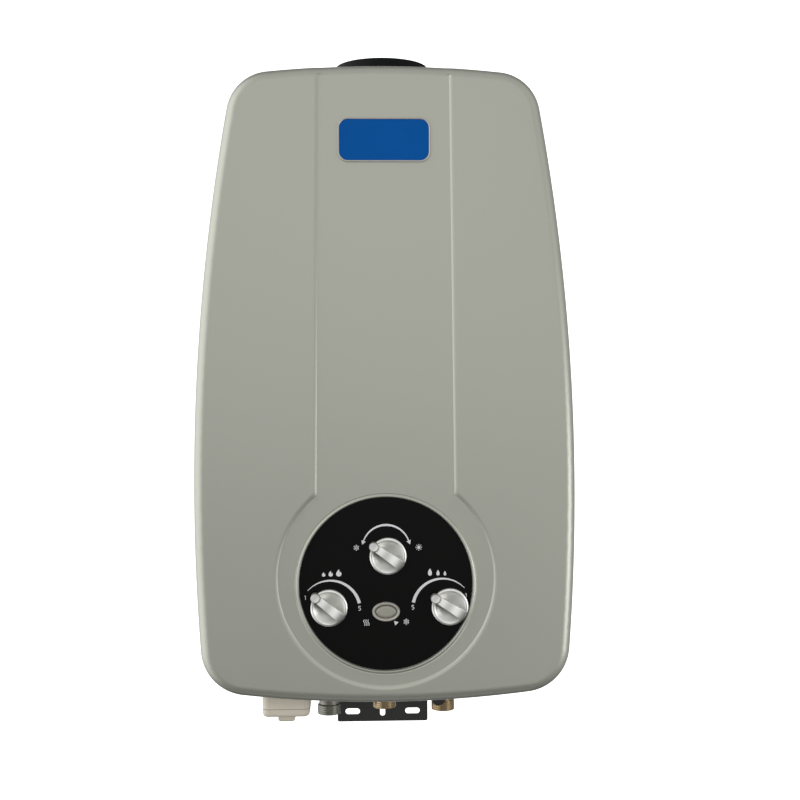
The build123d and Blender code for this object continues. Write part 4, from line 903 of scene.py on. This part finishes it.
def screw_tree():
    """Cross-recess screws on points, each facing away from the middle plane."""
    tree, given = growth_tree("screws", Points="Geometry", Head_Radius="Float", Top_Radius="Float",
                              Head_Height="Float", Shank_Radius="Float", Shank_Length="Float",
                              Recess_Length="Float", Recess_Width="Float", Material="Material")
    points = given["Points"]
    feed = {"Vertices": turned_segments, "Radius Top": given["Top_Radius"],
            "Radius Bottom": given["Head_Radius"], "Depth": given["Head_Height"]}
    head = points.node("GeometryNodeMeshCone", feed=feed)
    feed = {"X": given["Recess_Length"], "Y": given["Recess_Width"], "Z": given["Head_Height"]}
    bar = points.node("GeometryNodeMeshCube", feed={"Size": points.node("ShaderNodeCombineXYZ", feed=feed)})
    rise = points.node("ShaderNodeCombineXYZ", feed={"Z": given["Head_Height"]})
    for turn in (0, math.pi / 2):
        feed = {"Geometry": bar, "Translation": rise, "Rotation": (0, 0, turn)}
        slot = bar.node("GeometryNodeTransform", feed=feed)
        feed = {"Mesh 1": head, "Mesh 2": slot}
        head = head.node("GeometryNodeMeshBoolean", feed=feed, operation="DIFFERENCE")
    feed = {"Vertices": turned_segments, "Radius": given["Shank_Radius"], "Depth": given["Shank_Length"]}
    shank = points.node("GeometryNodeMeshCylinder", feed=feed)
    fall = points.node("ShaderNodeCombineXYZ", feed={"Z": given["Shank_Length"] * -0.5})
    shank = shank.node("GeometryNodeTransform", feed={"Geometry": shank, "Translation": fall})
    screw = head.node("GeometryNodeJoinGeometry", feed={"Geometry": head})
    tree.links.new(shank.socket, screw.socket.node.inputs["Geometry"])
    spot = points.node("GeometryNodeInputPosition")
    away = spot.node("ShaderNodeVectorMath", feed={0: spot, 1: (1, 0, 0)}, operation="MULTIPLY")
    heading = away.node("FunctionNodeAlignRotationToVector", feed={"Vector": away}, axis="Z")
    feed = {"Points": points, "Instance": screw, "Rotation": heading}
    return close_tree(tree, points.node("GeometryNodeInstanceOnPoints", feed=feed), given["Material"])


def grown(name, tree, values, points=()):
    """Plain mesh that a node tree makes from its input values."""
    shape = bmesh.new()
    for spot in points:
        shape.verts.new(spot)
    made = mesh_object(name, shape)
    growth = made.modifiers.new("growth", "NODES")
    growth.node_group = tree
    for item in tree.interface.items_tree:
        if item.name in values:
            growth[item.identifier] = values[item.name]
    return baked(made)


def threads():
    """Threads on the lower ends of the three fittings."""
    tree = thread_tree()
    height = thread_band - 2 * thread_ridge
    for node, slot in (("gas_inlet_fitting", "zinc_steel"), ("hot_outlet_fitting", "brass_fittings"),
                       ("cold_inlet_fitting", "brass_fittings")):
        values = {"Radius": thread_radius, "Turns": height / thread_pitch, "Height": height,
                  "Ridge": thread_ridge, "Material": fitting_metals[slot]}
        ridge = grown(node + "_thread", tree, values)
        low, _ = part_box(node)
        place = Vector((fitting_places[node], -fitting_depth, low.z + thread_ridge))
        ridge.data.transform(Matrix.Translation(place))
        ridge.data.shade_smooth()
        settled(ridge, "casing", slot, finish=fitting_metals[slot])


def grip():
    """Ribs round the head of the drain plug."""
    values = {"Count": grip_ribs, "Radius": grip_radius, "Size": grip_rib_size,
              "Material": materials["dark_plastic"]}
    ribs = grown("drain_plug_ribs", rib_tree(), values)
    low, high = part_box("drain_plug")
    middle = (low + high) / 2
    place = Matrix.Translation((middle.x, low.y + grip_setback, middle.z))
    ribs.data.transform(place @ Matrix.Rotation(math.pi / 2, 4, "X"))
    settled(ribs, "drain_screw", "dark_plastic")


def side_screws():
    """The two screws that hold the cover at its sides."""
    values = dict(cover_screw_sizes, Material=materials["zinc_steel"])
    spots = [(side * case_width / 2, -cover_screw_depth, widest_level) for side in (-1, 1)]
    screws = grown("cover_screws_shape", screw_tree(), values, spots)
    settled(shaded(screws), "casing", "zinc_steel", "cover_screws")


# Knobs

def bar_height(share):
    """Height of the knob's bar, from its tail at 0 to its nub at 1."""
    height = bar_shoulder + (bar_crest - bar_shoulder) * share
    if share >= bar_fall_share:
        return height
    away = 1 - share / bar_fall_share
    return bar_end + (height - bar_end) * math.sqrt(1 - away ** 2)


def knob_bar(shape):
    """Tapered bar across the knob, rounded along its top edges and falling away at its tail."""
    loops = []
    for row in range(bar_rows + 1):
        share = (row / bar_rows) ** 2
        half = bar_tail_half + (bar_root_half - bar_tail_half) * share
        top = bar_height(share)
        edge = min(bar_round, (top - bar_floor) / 2)
        third = edge / 3
        side = [(half - edge, top), (half - third, top - third), (half, top - edge), (half, bar_floor)]
        section = [(-across, height) for across, height in side[::-1]] + side
        loop = []
        for across, height in section:
            tail = -math.sqrt(knob_radius ** 2 - across ** 2)
            loop.append(Vector((tail + (nub_reach - tail) * share, across, height)))
        loops.append(loop)
    stack(shape, loops)


def knob(dial):
    """A knob with a dished skirt, a tapered bar and a round nub, at its rest angle."""
    shape = bmesh.new()
    turned(shape, skirt_outline)
    knob_bar(shape)
    turned(shape, nub_outline, Matrix.Translation((nub_reach, 0, 0)))
    bmesh.ops.recalc_face_normals(shape, faces=shape.faces)
    spot = joint_spots[dial + "_dial"]
    cos = math.cos(knob_angles[dial])
    sin = math.sin(knob_angles[dial])
    place = Matrix(((cos, -sin, 0, spot.x), (0, 0, -1, -knob_back), (sin, cos, 0, spot.z), (0, 0, 0, 1)))
    bmesh.ops.transform(shape, matrix=place, verts=shape.verts)
    made = shaded(mesh_object(dial + "_knob_shape", shape))
    # Each knob gets its own material, with its painted highlights, shade and shadows laid out in the knob's own
    # frame
    metal = surface("painted_light_knob_" + dial, knob_with_painted_light(dial))
    settled(made, dial + "_dial", "knob_silver", dial + "_knob", finish=metal)


# Sight window and badge

def oval_loop(inset, up):
    """Oval inside the sight bezel's outline, at a height above the control panel."""
    low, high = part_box("sight_bezel")
    middle = (low + high) / 2
    half = (high - low) / 2
    loop = []
    for turn in full_turn(oval_segments):
        normal = Vector((math.cos(turn) / half.x, math.sin(turn) / half.z)).normalized()
        x = middle.x + half.x * math.cos(turn) - normal.x * inset
        z = middle.z + half.z * math.sin(turn) - normal.y * inset
        loop.append(Vector((x, -panel_front - up, z)))
    return loop


def stepped(name, loops, ends, slot, *nodes):
    """Piece of the casing built up from loops."""
    shape = bmesh.new()
    stack(shape, loops, ends)
    bmesh.ops.recalc_face_normals(shape, faces=shape.faces)
    settled(shaded(mesh_object(name, shape)), "casing", slot, *nodes)


def sight_window():
    bezel = [oval_loop(inset, up) for inset, up in bezel_outline]
    lens = [oval_loop(inset, up) for inset, up in lens_outline]
    stepped("sight_bezel_shape", bezel, "ring", "bezel_grey", "sight_bezel")
    stepped("sight_lens_shape", lens, "cap", "sight_glass", "sight_lens")


def badge_loop(inset, up):
    """Rounded oblong inside the badge's outline, at a height above the pressed panel."""
    low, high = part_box("badge_plate")
    middle = (low + high) / 2
    half = (high - low) / 2
    loop = []
    for corner, (side, end) in enumerate(((1, 1), (-1, 1), (-1, -1), (1, -1))):
        centre = Vector((side * (half.x - badge_corner), end * (half.z - badge_corner)))
        for n in range(corner_segments + 1):
            turn = math.pi / 2 * (corner + n / corner_segments)
            spot = centre + Vector((math.cos(turn), math.sin(turn))) * (badge_corner - inset)
            loop.append(Vector((middle.x + spot.x, panel_sink - face_depth - up, middle.z + spot.y)))
    return loop


def badge():
    rim = [badge_loop(inset, up) for inset, up in badge_frame_outline]
    face = [badge_loop(inset, up) for inset, up in badge_face_outline]
    stepped("badge_frame", rim, "ring", "bezel_grey")
    stepped("badge_face", face, "cap", "badge_blue", "badge_plate")


# Signs on the control panel

def ribbon(shape, path, widths):
    """Flat stroke along a path on the panel, standing a little proud of it."""
    loops = []
    for n, spot in enumerate(path):
        along = path[min(n + 1, len(path) - 1)] - path[max(n - 1, 0)]
        side = Vector((-along.y, along.x)).normalized() * (widths[n] / 2)
        front = -panel_front - sign_rise
        near, far = spot + side, spot - side
        loops.append([Vector((near.x, front, near.y)), Vector((far.x, front, far.y)),
                      Vector((far.x, -panel_front, far.y)), Vector((near.x, -panel_front, near.y))])
    stack(shape, loops)


def line(shape, start, end):
    ribbon(shape, [start, end], [sign_stroke, sign_stroke])


def patch(shape, outline):
    """Flat filled shape on the panel."""
    depths = (-panel_front, -panel_front - sign_rise)
    stack(shape, [[Vector((spot.x, depth, spot.y)) for spot in outline] for depth in depths])


def polar(angle, length):
    return Vector((math.cos(angle), math.sin(angle))) * length


def arc_sign(shape, centre, radius, angles, widths):
    """Arc whose width runs through three values from its start to its end."""
    start, end = angles
    first, middle, last = widths
    path = []
    sizes = []
    for n in range(arc_steps + 1):
        share = n / arc_steps
        low, high, local = (first, middle, share * 2) if share < 0.5 else (middle, last, share * 2 - 1)
        path.append(centre + polar(start + (end - start) * share, radius))
        sizes.append(low + (high - low) * local)
    ribbon(shape, path, sizes)
    return path


def arrow(shape, tip, heading):
    side = Vector((-heading.y, heading.x)) * arrow_half
    base = tip - heading * arrow_length
    patch(shape, [tip, base + side, base - side])


def snowflake(shape, middle, size):
    for n in range(6):
        spoke = math.pi / 3 * n + math.pi / 6
        line(shape, middle, middle + polar(spoke, size / 2))
        fork = middle + polar(spoke, size * snowflake_fork_share)
        for side in (-1, 1):
            line(shape, fork, fork + polar(spoke + side * math.pi / 3, size * snowflake_twig_share))


def sun(shape, middle, size):
    patch(shape, [middle + polar(turn, size * sun_disc_share) for turn in full_turn(sun_points)])
    for n in range(8):
        start, end = [middle + polar(math.pi / 4 * n, size * share) for share in sun_ray_shares]
        line(shape, start, end)


def drop(shape, foot, size):
    """Drop with its round end on foot."""
    outline = []
    for turn in full_turn(drop_points):
        across_share = math.sin(turn) * math.sin(turn / 2) * drop_half_share
        up_share = 0.5 + math.cos(turn) / 2
        outline.append(foot + Vector((across_share * size, up_share * size)))
    patch(shape, outline)


def flame(shape, foot, size):
    """Flame with a tall tongue and a short one."""
    patch(shape, [foot + Vector(share) * size for share in flame_shares])


def digit(shape, middle, shares):
    """Number drawn stroke by stroke, through points given as shares of half its height."""
    spots = [middle + Vector(share) * (digit_height / 2) for share in shares]
    for start, end in zip(spots, spots[1:]):
        line(shape, start, end)


def heat_waves(shape, middle):
    for step in (-1, 0, 1):
        path = []
        for n in range(wave_steps + 1):
            share = n / wave_steps
            sway = math.sin(share * 2 * math.pi) * sign_stroke
            path.append(middle + Vector((step * wave_spacing + sway, (share - 0.5) * sign_height)))
        ribbon(shape, path, [sign_stroke] * len(path))


def flat(spot):
    return Vector((spot.x, spot.z))


def panel_signs():
    """Arcs, pictures and numbers round the knobs and the sight window."""
    shape = bmesh.new()
    season = flat(joint_spots["season_dial"])
    gas = flat(joint_spots["gas_dial"])
    water = flat(joint_spots["water_dial"])
    low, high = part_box("sight_bezel")
    window = flat((low + high) / 2)
    middle = season + season_arc_spot
    path = arc_sign(shape, middle, season_arc_radius, season_arc_angles, season_arc_widths)
    for end, before in ((path[0], path[1]), (path[-1], path[-2])):
        heading = (end - before).normalized()
        arrow(shape, end + heading * arrow_length, heading)
    arc_sign(shape, gas + gas_arc_spot, flow_arc_radius, gas_arc_angles, flow_arc_widths)
    arc_sign(shape, water + water_arc_spot, flow_arc_radius, water_arc_angles, flow_arc_widths)
    snowflake(shape, season + snowflake_spot, sign_height)
    sun(shape, season + sun_spot, sign_height)
    for spot, share in zip(flame_row, row_shares):
        flame(shape, gas + spot, sign_height * share)
    for spot, share in zip(drop_row, row_shares[::-1]):
        drop(shape, water + spot, sign_height * share)
    digit(shape, gas + gas_one_spot, digit_one_shares)
    digit(shape, gas + gas_five_spot, digit_five_shares)
    digit(shape, water + water_five_spot, digit_five_shares)
    digit(shape, water + water_one_spot, digit_one_shares)
    heat_waves(shape, window + wave_spot)
    snowflake(shape, window + frost_spot, sign_height)
    arrow(shape, window + window_arrow_spot, Vector((-1, 1)).normalized())
    bmesh.ops.recalc_face_normals(shape, faces=shape.faces)
    settled(mesh_object("panel_signs", shape), "casing", "panel_black", finish=sign_paint)


# All the pieces

cover_arcs = front_arcs()
dial_middle = Vector((0, dial_level))
samples = outline_samples()
joint_spots = {joint["child"]: Vector(joint["pos_m"]) for joint in frame["joints"] if "pos_m" in joint}
fitting_metals = {"zinc_steel": surface("fitting_grey", fitting_grey),
                  "brass_fittings": materials["brass_fittings"]}
front_cover()
for dial in knob_angles:
    knob(dial)
sight_window()
badge()
panel_signs()
for node, slot in (("control_panel", "panel_black"), ("lower_wall_bracket", "black_enamel"),
                   ("base_plate", "zinc_steel"), ("hot_outlet_fitting", "brass_fittings"),
                   ("cold_inlet_fitting", "brass_fittings"), ("fitting_locknuts", "brass_fittings")):
    softened(node, "casing", slot, soft_edge)
softened("gas_inlet_fitting", "casing", "zinc_steel", soft_edge, fitting_metals["zinc_steel"])
softened("flue_collar", "casing", "black_enamel", soft_edge, surface("flue_black", flue_black))
softened("battery_box", "casing", "box_plastic", box_edge)
softened("battery_lid", "battery_door", "box_plastic", box_edge)
softened("drain_plug", "drain_screw", "dark_plastic", soft_edge)
threads()
grip()
side_screws()

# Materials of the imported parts
for part in frame["record"]["subparts"]:
    obj = frame["nodes"][part["node"]]
    obj.data.materials.clear()
    obj.data.materials.append(materials[part["material_slot"]])


# Camera and light

def aimed(name, data, place, aim, roll=0.0):
    """Camera or lamp at a place, turned to an aim."""
    made = bpy.data.objects.new(name, data)
    turn = (aim - place).to_track_quat("-Z", "Y").to_matrix().to_4x4()
    made.matrix_world = Matrix.Translation(place) @ turn @ Matrix.Rotation(roll, 4, "Z")
    bpy.context.scene.collection.objects.link(made)
    return made


def photo_camera():
    data = bpy.data.cameras.new("camera")
    data.lens = camera_lens
    made = aimed("camera", data, camera_place, camera_aim, camera_roll)
    bpy.context.scene.camera = made
    return made


def studio_world():
    """White behind the heater, with soft light from the front and both sides and little from below."""
    world = bpy.data.worlds.new("studio")
    world.use_nodes = True
    tree = world.node_tree
    place = Socket(tree, tree.nodes.new("ShaderNodeTexCoord").outputs["Generated"])
    strength = world_dim
    for direction, spread, power in world_lobes:
        strength = strength + place.facing(direction, spread) * power
    background = tree.nodes["Background"]
    tree.links.new(strength.socket, background.inputs["Strength"])
    background.inputs["Color"].default_value = colour(1, 1, 1)
    bpy.context.scene.world = world


def lamp(name, place, aim, size, watts):
    """Large soft light."""
    data = bpy.data.lights.new(name, "AREA")
    data.shape = "SQUARE"
    data.size = size
    data.energy = watts
    return aimed(name, data, place, aim)


studio_world()
camera = photo_camera()
key = lamp("key", key_place, key_aim, key_size, key_watts)
side = lamp("side", side_place, side_aim, side_size, side_watts)
floor = block("floor", floor_low, floor_high)
floor.data.materials.append(surface("floor_white", floor_white))
bpy.context.scene.view_settings.view_transform = "Standard"
